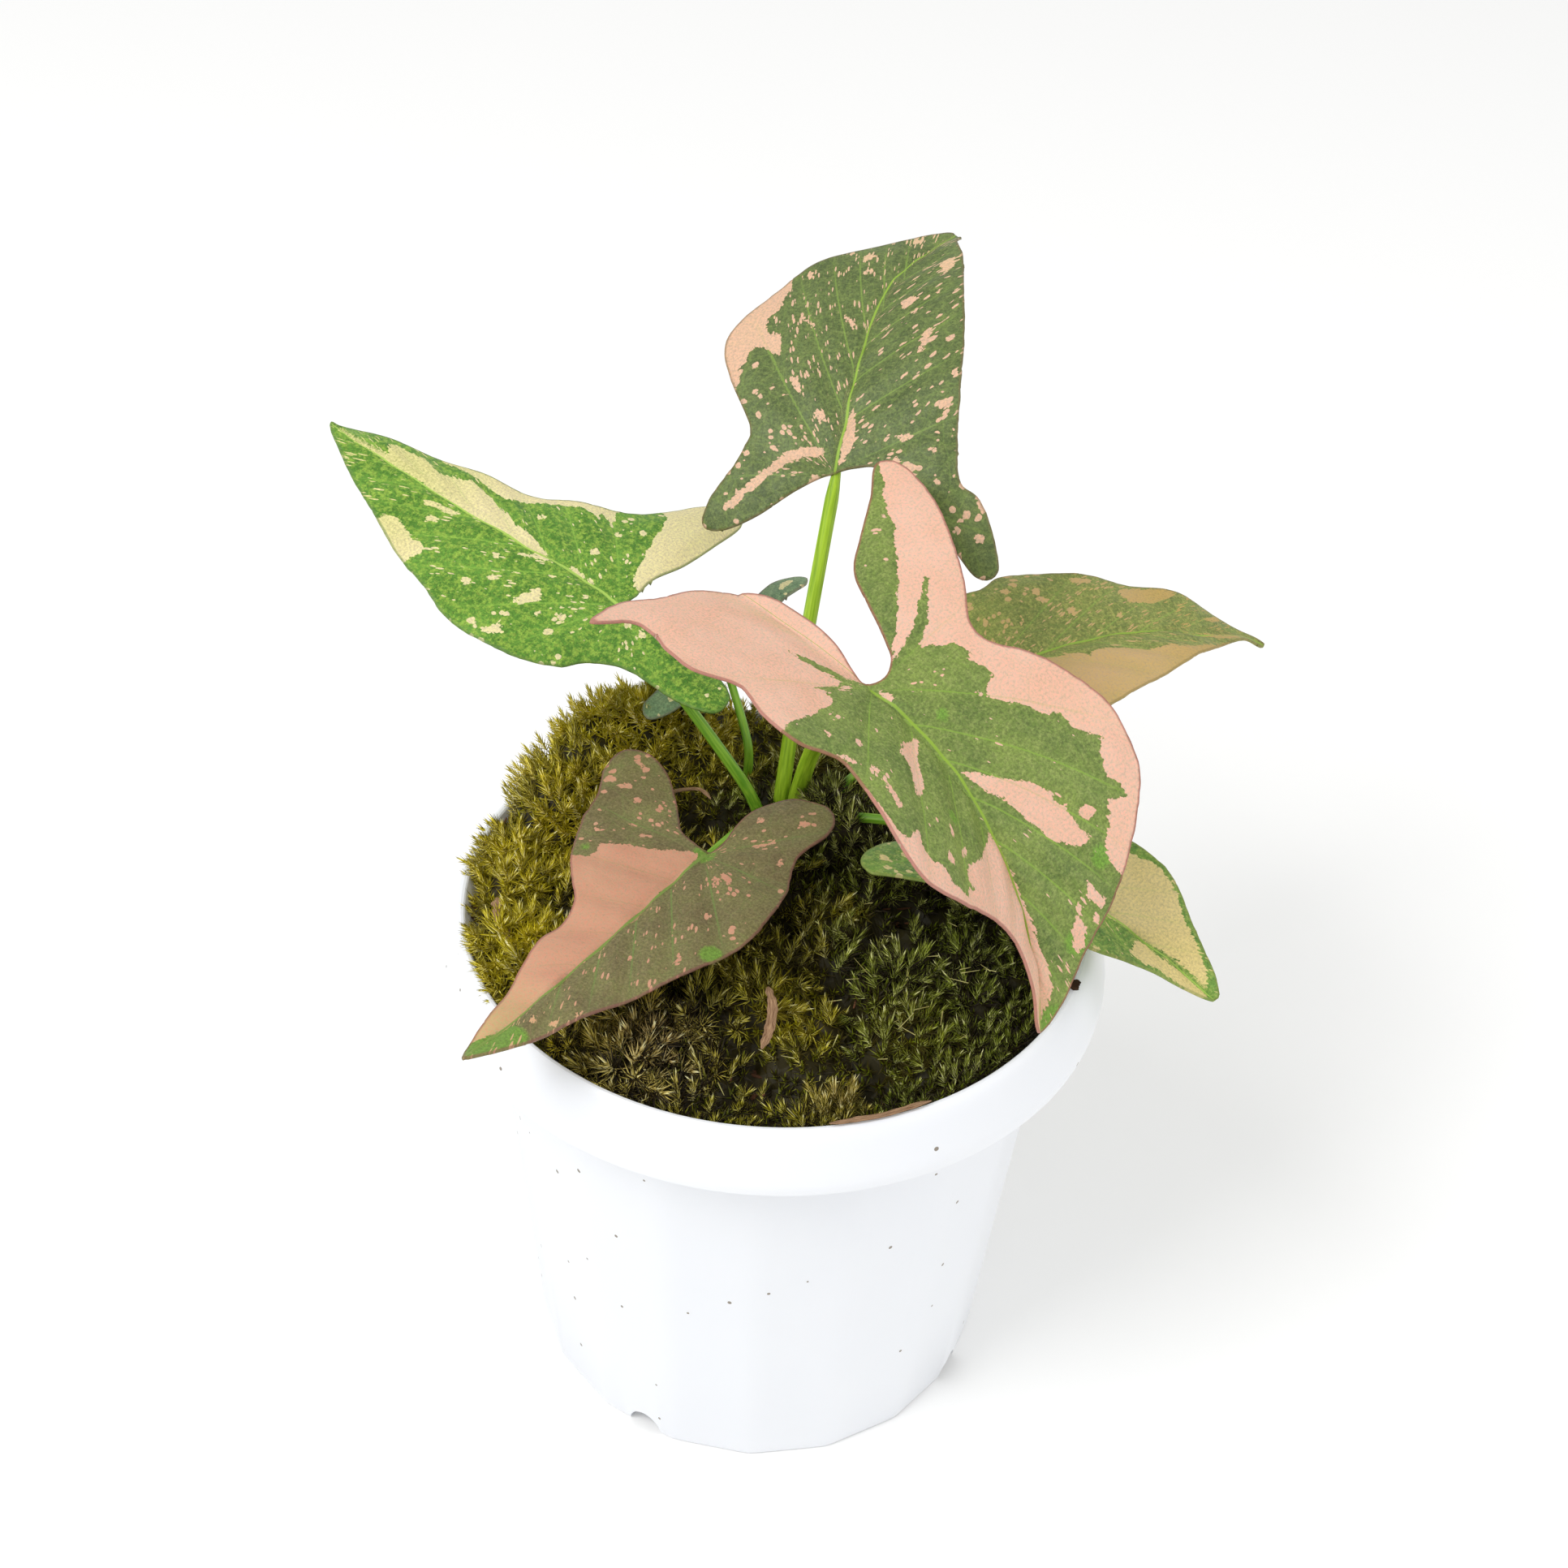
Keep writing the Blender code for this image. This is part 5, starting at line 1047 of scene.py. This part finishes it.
RIGHT_PALE = [
    [(0, 0), (.5, 5), (1.5, 12), (2.4, 15.6), (3.1, 18.1), (4.9, 19.2), (4.2, 21.7), (4.9, 25.3), (5.3, 28.1),
     (6.7, 31), (6.7, 35.3), (6.4, 37.8), (7.8, 39.2), (7.4, 43.1), (6.4, 46.7), (5.3, 51), (4.2, 55.3), (8, 60),
     (20, 50), (34, 30), (34, -10), (22, -22), (4, -10)], [(.6, 60.3), (2.4, 59.2), (2.8, 54.6), (2.1, 49.6),
     (1.4, 48.1), (.6, 51.7), (.3, 56.7)], [(-11.1, 48.1), (-9.7, 47.4), (-8.6, 43.9), (-7.8, 41.7),
     (-8.6, 39.6), (-8.6, 35.6), (-11.1, 34.6), (-12.9, 35.3), (-13.3, 36.7), (-12.6, 42.4), (-12.2, 46)],
    [(-5.4, 57.8), (-4, 58.1), (-2.9, 53.9), (-3.6, 51.9), (-4.7, 53.9)], [(-7.6, 49.6), (-5.4, 46.4),
     (-5.1, 45.3), (-6.5, 47.1)], [(-2.2, 48), (-1.1, 47.8), (-.6, 45.3), (-1.9, 46)], [(-18.5, 27), (-16, 30),
     (-15, 29.5), (-16, 27), (-17.8, 26)], (-8.8, 22.4, 1.0), (-16.5, 18, .9), (-13.6, 18.1, .8),
    (-18.6, 12.1, .9), (-5.1, 31.7, .8), [(-11.5, 12.5), (-9.5, 11.7), (-8, 11), (-9.6, 11.2)]]
RIGHT_LOOK = dict(OLIVE_LOOK, green=("#6d7a3a", "#858f48", "#a3a257"), mottle=0.6, flecks=0.26,
                  dots=0.12, pale=("#ddb98a", "#cfb478", "#bfa458", "#a98a4c"), tip_from=30, margin="#8a7a45")
build_leaf("right", RIGHT_LEAF, RIGHT_PALE, RIGHT_LOOK)

# Low left leaf: an older brown-olive blade over the moss, with a salmon sector from the notch
# to the tip along its upper side.
LOW_LEFT_LEAF = dict(
    junction=(-13.8, -5.6, 126.5), heading=-125, pitch=-3, roll=-4, droop=-7, lobe_droop=-14,
    fold=(6, 2), fold_gain=(0, -4), curl=0, sweep=-1.5, length=68, half_width=25, sinus=(0, -1), tip=(0, 69),
    right=[(3, -1), (7, -2), (10, -5), (14, -9), (19, -13), (25, -15), (30, -13), (30, -7), (26, 0), (24, 7),
           (20, 15), (15, 21), (11, 25), (9, 31), (9, 37), (7, 45), (5, 51), (3, 59)],
    left=[(1, -5), (0.5, -10), (1, -15), (4, -20), (8, -22), (14, -22), (17, -17), (16, -8), (19, -1), (21, 5),
          (22, 12), (21, 19), (18, 28), (14, 38), (11, 46), (8, 54), (5, 61), (3, 66)],
    foot=(-1.8, 20.6), arch=[(-2.6, 18.0, 116.0), (-7.0, 7.0, 123.0)], stalk=1.2,
    midrib=[(0, -2), (0, 0), (-.4, 25), (-.8, 45), (-.5, 67)],
    vein_rise=(0.1, 1.0),
    veins=([-20, -9, 0, 9, 18, 27, 38, 50], [-30, -19, -9, 0, 10, 20, 30, 41, 52]))
LOW_LEFT_PALE = [
    [(.6, .6), (2.7, 1.3), (4.5, 3.1), (7.4, 4.9), (9.5, 6.3), (11.6, 7), (13.1, 7.7), (15.2, 8.8), (16.6, 9.9),
     (16.3, 12), (16.3, 13.4), (18.1, 14.9), (19.5, 16.5), (26, 15), (26, 28), (16, 38), (12, 52), (6, 62),
     (1.2, 66), (-.6, 60), (-.8, 45), (-.4, 25), (0, 5)], [(-10.1, 4.9), (-7.3, 4.5), (-6.2, 2.7), (-8, 2.7),
     (-9.8, 3.8)], [(-8, 6.8), (-6, 5.2), (-6.2, 4.6), (-8, 6.0)], [(-16.4, 27.6), (-14.3, 27.3), (-13.2, 25.5),
     (-13.2, 24.4), (-14.5, 25.2), (-15.5, 26.8)], [(-4.4, 54.5), (-3.4, 54.9), (-2.6, 52.7), (-3.7, 52.4)],
    (-6.9, 52.4, .7), [(-9.5, 49.5), (-9, 48), (-9.5, 46.5), (-10, 47.5)], (-6.9, 30.7, .6), (-11.6, 13.8, .7),
    [(-.9, 22.7), (-.5, 22), (-.4, 20), (-1, 20.6)], [(-10, -10.3), (-9.3, -8), (-7.5, -6.2), (-7.6, -7.5),
     (-9, -9.6)], (-13.9, -5.5, .8), (-11.8, -16, .9), (-4.1, -12.6, .9), [(14.5, 2.6), (18.6, 2.2), (18.4, 1.6),
     (14.5, 2.0)], (12, 3.6, .6), (18.8, -3.4, .7), (22.9, -5.6, .8), (20, 7.6, .6), [(21.6, -10.2), (24.5, -11),
     (26.8, -12), (26, -12.9), (24, -12.2), (22.5, -11)]]
BROWN_LOOK = dict(green=("#6d6140", "#7d7a49", "#8a7d58"), mottle=0.35, flecks=0.17, dots=0.12,
                  pale=("#e2b592", "#d9a484", "#e0cd8c", "#b3715c"), tip_from=44,
                  vein="#6f8f45", halo=0.07, vein_share=0.55, midrib="#7f9a48",
                  margin="#84484a", margin_share=0.55, under="#94865f")
build_leaf("low_left", LOW_LEFT_LEAF, LOW_LEFT_PALE, BROWN_LOOK,
           [(-18.4, 21.6, 2.2), (18.8, 12.4, .9), (0, 0, 2.2), (0, 66, 6.0), (-3, 60, 3.5)])

# Low right leaf: a short blade held low over the moss, half cream and half green, mostly
# hidden under the front leaf.
LOW_RIGHT_LEAF = dict(
    junction=(40.2, 9.4, 121.0), heading=-36, pitch=-2, roll=0, droop=23, lobe_droop=10,
    fold=(14, 13), fold_gain=(8, 0), curl=0, sweep=-2, length=56, half_width=22, sinus=(0, -1), tip=(0, 54),
    right=[(4, -2), (9, -6), (14, -10), (20, -12), (27, -11), (30, -7), (28, -3), (25, 2), (21, 6), (19, 12),
           (18, 18), (16, 25), (14, 31), (11, 37), (8, 42), (4, 48)],
    left=[(4, -2), (10, -7), (16, -12), (22, -14), (25, -10), (23, -4), (19, 2), (16, 8), (16, 15), (17, 22),
          (16, 30), (14, 35), (10, 41), (6, 47), (3, 52)],
    foot=(3.0, 20.3), arch=[(5.0, 19.6, 115.0), (14.0, 17.0, 118.8), (28.0, 13.2, 120.6)], stalk=1.2,
    midrib=[(0, -2), (0, 0), (-.2, 30), (0, 52)], vein_rise=(0.8, 0.9),
    veins=([-22, -11, 0, 9, 18, 27, 37, 46], [-24, -12, 0, 9, 18, 27, 37, 46]))
LOW_RIGHT_PALE = [
    [(.4, 29), (-.3, 36), (-.9, 41), (-1, 47.7), (-.3, 51.6), (-2.8, 49.5), (-6.4, 44.5), (-9.9, 38.8),
     (-13.1, 34.9), (-14.8, 30.6), (-15.3, 27), (-14.6, 24.1), (-14, 18), (-14, 10), (-10, 4), (-3, 2), (0, 5)],
    [(.4, 52.7), (2.9, 51.6), (4.7, 46.3), (6.5, 41.6), (7.9, 40.2), (6.5, 36.3), (4.4, 36.6), (2.2, 35.6),
     (.8, 37.7), (1.5, 40.6), (1.9, 43.4), (.4, 46.3)], (11, 26, 1.0), (9, 14, .8), (13, 32, .9), (19, -6, 1.1),
    (24, -8, .9)]
CREAM_LOOK = dict(BRIGHT_LOOK, green=("#4f7a35", "#75993e", "#a9b85c"), mottle=0.6, flecks=0.16,
                  pale=("#ecdaa6", "#e7d592", "#e3cf8a", "#cdb878"), tip_from=30, margin="#86904a", under="#a9b987")
build_leaf("low_right", LOW_RIGHT_LEAF, LOW_RIGHT_PALE, CREAM_LOOK)

# Back leaf: a small young blade, bluish green, with long sideways lobes. Its stalk comes from
# the small stem at the back.
BACK_LEAF = dict(
    junction=(-10.9, 49.9, 129.0), heading=144, pitch=4, roll=6, droop=34, lobe_droop=8,
    fold=(5, 5), fold_gain=(0, 0), curl=8, sweep=0, length=42, half_width=18, sinus=(0, -1), tip=(0, 46),
    right=[(3, 0), (8, 1), (15, 3), (23, 5), (31, 5), (33, 8), (28, 11), (22, 11), (16, 10), (12, 12), (9, 17),
           (9, 24), (7, 32), (4, 39)],
    left=[(3, 0), (8, 0), (14, 1), (19, 2), (22, 4), (20, 7), (13, 8), (10, 12), (9, 20), (8, 28), (5, 36),
          (3, 41)],
    foot=(-7.0, 37.5), arch=[(-7.2, 38.9, 119.0)], stalk=1.05,
    midrib=[(0, -2), (0, 0), (0, 44)], vein_rise=(0.4, 0.4),
    veins=([-14, -4, 0, 8, 16, 25, 34], [-14, -4, 0, 8, 16, 25, 34]))
BACK_PALE = [[(25, 8.6), (29, 8.8), (29.5, 7.4), (25.4, 7.2)], (14, 6, .7), (-15, 4, .8), (4, 20, .8)]
BLUISH_LOOK = dict(BRIGHT_LOOK, green=("#5f7d5c", "#7f9a74", "#97ac80"), mottle=0.5, flecks=0.10, vein="#9fb784",
                   midrib="#a9bf8c", margin="#7a6a5c", margin_share=0.5, under="#9db09a")
build_leaf("back", BACK_LEAF, BACK_PALE, BLUISH_LOOK)


# Leaf stalks: juicy ribbed petioles that rise from the crown, sheathing it at their foot, and
# meet the blade from below at the notch. Each is one tapered tube along a smooth curve.
INSIDE_SOLID = 0.93
CROWN_FOOT = 108.3
BACK_CROWN_FOOT = 109.3


def spline_point(points, share):
    """Point of a smooth curve through the given points, with share from 0 to 1."""
    spans = len(points) - 1
    place_on = min(share * spans, spans - 1e-6)
    index = int(place_on)
    start, end = points[index], points[index + 1]
    before = points[index - 1] if index > 0 else 2.0 * start - end
    after = points[index + 2] if index + 2 <= spans else 2.0 * end - start
    return curve_between(before, start, end, after, place_on - index)


def tube_along(points, girth, sides, rings, flatness=1.0, up=(0.0, 1.0, 0.0)):
    """A closed tube: a unit cylinder, cut into rings and laid along a curve. girth(share, turn) is
    its radius, and flatness presses it along up. Returns the bmesh and, for each vertex, its share
    of the way, its turn and its radius."""
    builder = bmesh.new()
    bmesh.ops.create_cone(builder, cap_ends=True, segments=sides, radius1=1.0, radius2=1.0, depth=1.0)
    for ring in range(1, rings):
        whole = builder.verts[:] + builder.edges[:] + builder.faces[:]
        bmesh.ops.bisect_plane(builder, geom=whole, dist=1e-5, plane_co=(0, 0, ring / rings - 0.5),
                               plane_no=(0, 0, 1))
    marks = []
    for vert in builder.verts:
        share, turn = vert.co.z + 0.5, math.atan2(vert.co.y, vert.co.x)
        ahead = spline_point(points, min(1.0, share + 0.015)) - spline_point(points, max(0.0, share - 0.015))
        direction = ahead.normalized()
        right_hand = direction.cross(Vector(up).cross(direction)).normalized()
        front_hand = direction.cross(right_hand)
        radius = girth(share, turn)
        offset = right_hand * math.cos(turn) * radius * flatness + front_hand * math.sin(turn) * radius
        vert.co = spline_point(points, share) + offset
        marks.append((share, turn, radius))
    bmesh.ops.recalc_face_normals(builder, faces=builder.faces)
    if builder.calc_volume(signed=True) < 0.0:
        bmesh.ops.reverse_faces(builder, faces=builder.faces)
    return builder, marks


def stalk_finish(name, light, dark, blush):
    """Living petiole: smooth translucent skin over watery flesh, so a soft satin sheen, with fine
    paler ribs along its length, greener and slightly browned at the foot."""
    material, shader, tree = new_finish(name, 0.4, 0.4)
    grain = add_node(tree, "Attribute", attribute_name="stalk_grain").outputs["Vector"]
    share = add_node(tree, "Attribute", attribute_name="share").outputs["Fac"]
    streak = add_node(tree, "TexNoise", {"Vector": grain, "Scale": 2.2, "Detail": 3.0, "Roughness": 0.6})
    band = add_node(tree, "MapRange", {0: streak, 1: 0.36, 2: 0.62})
    skin = add_node(tree, "Mix", {0: band, 6: linear(dark), 7: linear(light)}, data_type="RGBA")
    foot = add_node(tree, "MapRange", {0: share, 1: 0.10, 2: 0.0, 3: 0.0, 4: 0.55})
    skin = add_node(tree, "Mix", {0: foot, 6: skin, 7: linear(blush)}, data_type="RGBA")
    relief = add_node(tree, "Bump", {"Height": streak, "Strength": 0.35, "Distance": 0.0003})
    set_inputs(tree, shader, {"Base Color": skin, "Normal": relief, "Subsurface Weight": 0.15,
                              "Subsurface Radius": (0.0010, 0.0014, 0.0004), "Subsurface Scale": 1.0})
    return material


yellow_stalk = stalk_finish("petiole_skin_yellow", "#a9cb34", "#7fa51c", "#9aa33c")
green_stalk = stalk_finish("petiole_skin_green", "#8db936", "#5f951a", "#6f8a2c")
for name, leaf in (("top", TOP_LEAF), ("left", LEFT_LEAF), ("front", FRONT_LEAF), ("right", RIGHT_LEAF),
                   ("low_left", LOW_LEFT_LEAF), ("low_right", LOW_RIGHT_LEAF), ("back", BACK_LEAF)):
    across, along, up = leaf_axes(leaf)
    under = Vector(leaf["junction"]) + along * 1.5
    slant = math.sqrt(max(0.0, 1.0 - (under - Vector(leaf["arch"][-1])).normalized().dot(up) ** 2))
    # The tube starts in its crown and runs on through the CAD's clearance until it meets the blade
    path = [Vector((*leaf["foot"], BACK_CROWN_FOOT if name == "back" else CROWN_FOOT))]
    path += [Vector(point) for point in leaf["arch"]] + [under - up * (0.15 + 0.72 * slant)]

    def girth(share, turn, stalk=leaf["stalk"]):
        ribs = 1.0 + 0.025 * math.cos(7.0 * turn) - 0.05 * math.exp(-((abs(turn) - math.pi) / 0.5) ** 2)
        swell = 1.0 + 0.30 * math.exp(-share / 0.05)
        tip = 1.0 - 0.18 * share - (0.34 * max(0.0, (share - 0.95) / 0.05) if share > 0.95 else 0.0)
        return INSIDE_SOLID * stalk * ribs * swell * tip

    builder, marks = tube_along(path, girth, sides=28, rings=54)
    length = sum((spline_point(path, (k + 1) / 40) - spline_point(path, k / 40)).length for k in range(40))
    finish = yellow_stalk if name in ("top", "front") else green_stalk
    piece = add_piece("stalk_" + name, builder, [finish], 50.0)
    set_field(piece.data, "share", [mark[0] for mark in marks])
    skin_places = [(radius * math.cos(turn), radius * math.sin(turn), share * length / 16.0)
                   for share, turn, radius in marks]
    set_field(piece.data, "stalk_grain", skin_places, "FLOAT_VECTOR")
    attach(piece, "root")
    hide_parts("petiole_" + name)


# Stem crowns: the short swollen stems under the stalks, wrapped in the clasping feet of old
# leaves, so the outline is lobed and the skin is ringed and browned. Moss covers all but their tops.
crown_finish = stalk_finish("old_leaf_sheath", "#93a24a", "#6c7433", "#6a5a34")
for node, middle, radius, top, lobes in (("stem_crown", (1.5, 25.0), 8.0, 108.0, 5),
                                         ("back_stem_crown", (-7.0, 37.5), 3.4, 109.0, 3)):
    def girth(share, turn, radius=radius, lobes=lobes):
        ends = math.sqrt(max(0.0, 1.0 - max(0.0, (share - 0.86) / 0.14) ** 2)) * 0.7 + 0.3
        foot = 0.7 + 0.3 * min(1.0, share / 0.2)
        rings = 1.0 - 0.035 * abs(math.sin(share * 16.0))
        return radius * INSIDE_SOLID * ends * foot * rings * (1.0 + 0.06 * math.cos(lobes * turn + 3.0 * share))

    path = [Vector((middle[0], middle[1], height)) for height in (88.0, 95.0, 102.0, top)]
    builder, marks = tube_along(path, girth, sides=48, rings=40)
    piece = add_piece(node + "_sheaths", builder, [crown_finish], 50.0)
    set_field(piece.data, "share", [mark[0] for mark in marks])
    skin_places = [(6.0 * math.cos(turn), 6.0 * math.sin(turn), share) for share, turn, _ in marks]
    set_field(piece.data, "stalk_grain", skin_places, "FLOAT_VECTOR")
    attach(piece, "root")
    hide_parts(node)


# Plant litter: a curved strip of bark and a bent dry twig on the moss, a bark chip at the left
# wall, and a torn twig and a crumb of peat on the rim, all lying loose where they fell.
# Weathered bark and twig: dry and fully matt, with fine fibres along the length.
bark_finish, bark_shader, tree = new_finish("weathered_bark", 0.85, 0.2)
grain = add_node(tree, "Attribute", attribute_name="stalk_grain").outputs["Vector"]
fibres = add_node(tree, "TexNoise", {"Vector": grain, "Scale": 3.5, "Detail": 4.0, "Roughness": 0.65})
shade = add_node(tree, "MapRange", {0: fibres, 1: 0.35, 2: 0.65})
wood = add_node(tree, "Mix", {0: shade, 6: linear("#6a4730"), 7: linear("#d3ac86")}, data_type="RGBA")
relief = add_node(tree, "Bump", {"Height": fibres, "Strength": 0.8, "Distance": 0.0005})
set_inputs(tree, bark_shader, {"Base Color": wood, "Normal": relief})
RIM_TOP = 111.3
# Node, plan points, half width, thickness, height over the carpet or None on the pot's rim
LITTER = [
    ("bark_strip", [(-0.6, -30.5), (0.4, -34.5), (0.0, -39.5), (-1.2, -43.5)], 1.05, 0.9, 3.3),
    ("dry_twig", [(-25.0, 18.0), (-20.0, 21.0), (-16.0, 21.5), (-13.6, 18.5)], 0.5, 0.8, 2.6),
    ("bark_chip", [(-53.0, -7.0), (-52.0, -12.0), (-49.6, -18.0)], 1.2, 1.0, 2.4),
    ("rim_twig", [(11.3, -59.1), (20.5, -56.5), (29.5, -52.3)], 0.62, 0.85, None),
    ("rim_crumb", [(56.4, -21.8), (57.4, -19.0)], 0.9, 0.8, None),
]
for node, plan, half_width, thickness, lift in LITTER:
    path = [Vector((x, y, (RIM_TOP if lift is None else carpet_height(x, y) + lift) + thickness / 2.0))
            for x, y in plan]

    def girth(share, turn, half_width=half_width, node=node):
        ragged = noise.noise(Vector((share * 9.0, math.cos(turn) * 0.8, len(node)))) * 0.5
        ends = math.sqrt(max(0.02, 1.0 - abs(2.0 * share - 1.0) ** 5))
        return half_width * (0.85 + ragged) * ends

    builder, marks = tube_along(path, girth, sides=18, rings=44, flatness=thickness / (2.0 * half_width),
                                up=(0.0, 0.0, 1.0))
    piece = add_piece(node + "_fibres", builder, [mix_finish if node == "rim_crumb" else bark_finish], 60.0)
    skin_places = [(2.0 * math.cos(turn), 2.0 * math.sin(turn), share * 1.6) for share, turn, _ in marks]
    set_field(piece.data, "stalk_grain", skin_places, "FLOAT_VECTOR")
    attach(piece, "root")
    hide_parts(node)


# Scattered litter: peat crumbs and bark splinters lie in the open gaps of the moss and along the
# left rim, and dry needles have fallen over it, many of them at the right. All of it is loose.
CRUMBS, RIM_CRUMBS = 230, 110
MOUTH_RADIUS = 59.0
crumb_builder = bmesh.new()
for index in range(CRUMBS):
    if index < RIM_CRUMBS:
        turn, radius = math.radians(dice.uniform(150.0, 222.0)), dice.uniform(57.6, 58.9)
        x, y = radius * math.cos(turn), radius * math.sin(turn)
        level = 107.1 + (radius - 58.0) * 2.4
    else:
        gx, gy, spread = dice.choice(DARK_GAPS)
        x, y = dice.gauss(gx, spread * 0.6), dice.gauss(gy, spread * 0.6)
        level = carpet_height(x, y) + dome_rise(x, y) - mat_drop(x, y) + 0.6
    if math.hypot(x, y) > MOUTH_RADIUS:
        continue
    verts = bmesh.ops.create_icosphere(crumb_builder, subdivisions=1, radius=dice.uniform(0.35, 0.95))["verts"]
    bmesh.ops.scale(crumb_builder, vec=(1.0, dice.uniform(0.4, 0.9), dice.uniform(0.35, 0.7)), verts=verts)
    if dice.random() < 0.45:
        bmesh.ops.scale(crumb_builder, vec=(dice.uniform(1.8, 3.4), 0.6, 0.6), verts=verts)
    spin = Matrix.Rotation(dice.uniform(0, math.tau), 3, "Z") @ Matrix.Rotation(dice.uniform(-0.4, 0.4), 3, "Y")
    bmesh.ops.rotate(crumb_builder, cent=(0, 0, 0), matrix=spin, verts=verts)
    for vert in verts:
        vert.co *= 1.0 + 0.35 * noise.noise(vert.co * 1.7 + Vector((index, 0, 0)))
    bmesh.ops.translate(crumb_builder, vec=(x, y, level), verts=verts)
# Bark crumbs: dry and matt, from near black to reddish brown, a new shade every 2 mm or so
crumb_finish, crumb_shader, tree = new_finish("bark_and_peat_crumbs", 0.9, 0.2)
place = add_node(tree, "TexCoord").outputs["Object"]
shade = add_node(tree, "TexVoronoi", {"Vector": place, "Scale": 450.0})
share = add_node(tree, "SeparateColor", {0: shade.outputs["Color"]})
brown = add_node(tree, "Mix", {0: share, 6: linear("#20140c"), 7: linear("#7a5238")}, data_type="RGBA")
fine = add_node(tree, "TexNoise", {"Vector": place, "Scale": 1400.0, "Detail": 3.0})
relief = add_node(tree, "Bump", {"Height": fine, "Strength": 0.7, "Distance": 0.0004})
set_inputs(tree, crumb_shader, {"Base Color": brown, "Normal": relief})
crumb_piece = add_piece("bark_crumbs", crumb_builder, [crumb_finish])
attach(crumb_piece, "root")

NEEDLES, RIGHT_NEEDLES, NEEDLE_REACH = 54, 22, 54.0
needle_builder = bmesh.new()
for index in range(NEEDLES):
    turn, out = dice.uniform(0, math.tau), NEEDLE_REACH * math.sqrt(dice.random())
    x, y = out * math.cos(turn), out * math.sin(turn)
    if index < RIGHT_NEEDLES:
        x, y = dice.gauss(32, 11), dice.gauss(-26, 11)
    if math.hypot(x, y) > NEEDLE_REACH or (Vector((x, y)) - CROWN).length < 9.0:
        continue
    verts = bmesh.ops.create_cone(needle_builder, cap_ends=True, segments=4, radius1=0.12, radius2=0.05,
                                  depth=dice.uniform(1.8, 4.4))["verts"]
    bearing = Matrix.Rotation(dice.uniform(0, math.tau), 3, "Z")
    lay = bearing @ Matrix.Rotation(math.radians(dice.uniform(62, 95)), 3, "X")
    bmesh.ops.rotate(needle_builder, cent=(0, 0, 0), matrix=lay, verts=verts)
    level = carpet_height(x, y) + dome_rise(x, y) + 1.1 - 1.6 * gap_depth(x, y)
    bmesh.ops.translate(needle_builder, vec=(x, y, level), verts=verts)
# Dry straw: pale tan, slightly glossy on its skin, with tone drifting every few millimetres
straw_finish, straw_shader, tree = new_finish("dry_needles", 0.6, 0.35)
place = add_node(tree, "TexCoord").outputs["Object"]
tone = add_node(tree, "TexNoise", {"Vector": place, "Scale": 260.0, "Detail": 2.0})
band = add_node(tree, "MapRange", {0: tone, 1: 0.35, 2: 0.65})
straw = add_node(tree, "Mix", {0: band, 6: linear("#8f8440"), 7: linear("#d2cc86")}, data_type="RGBA")
set_inputs(tree, straw_shader, {"Base Color": straw})
needles = add_piece("dry_needles", needle_builder, [straw_finish])
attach(needles, "root")
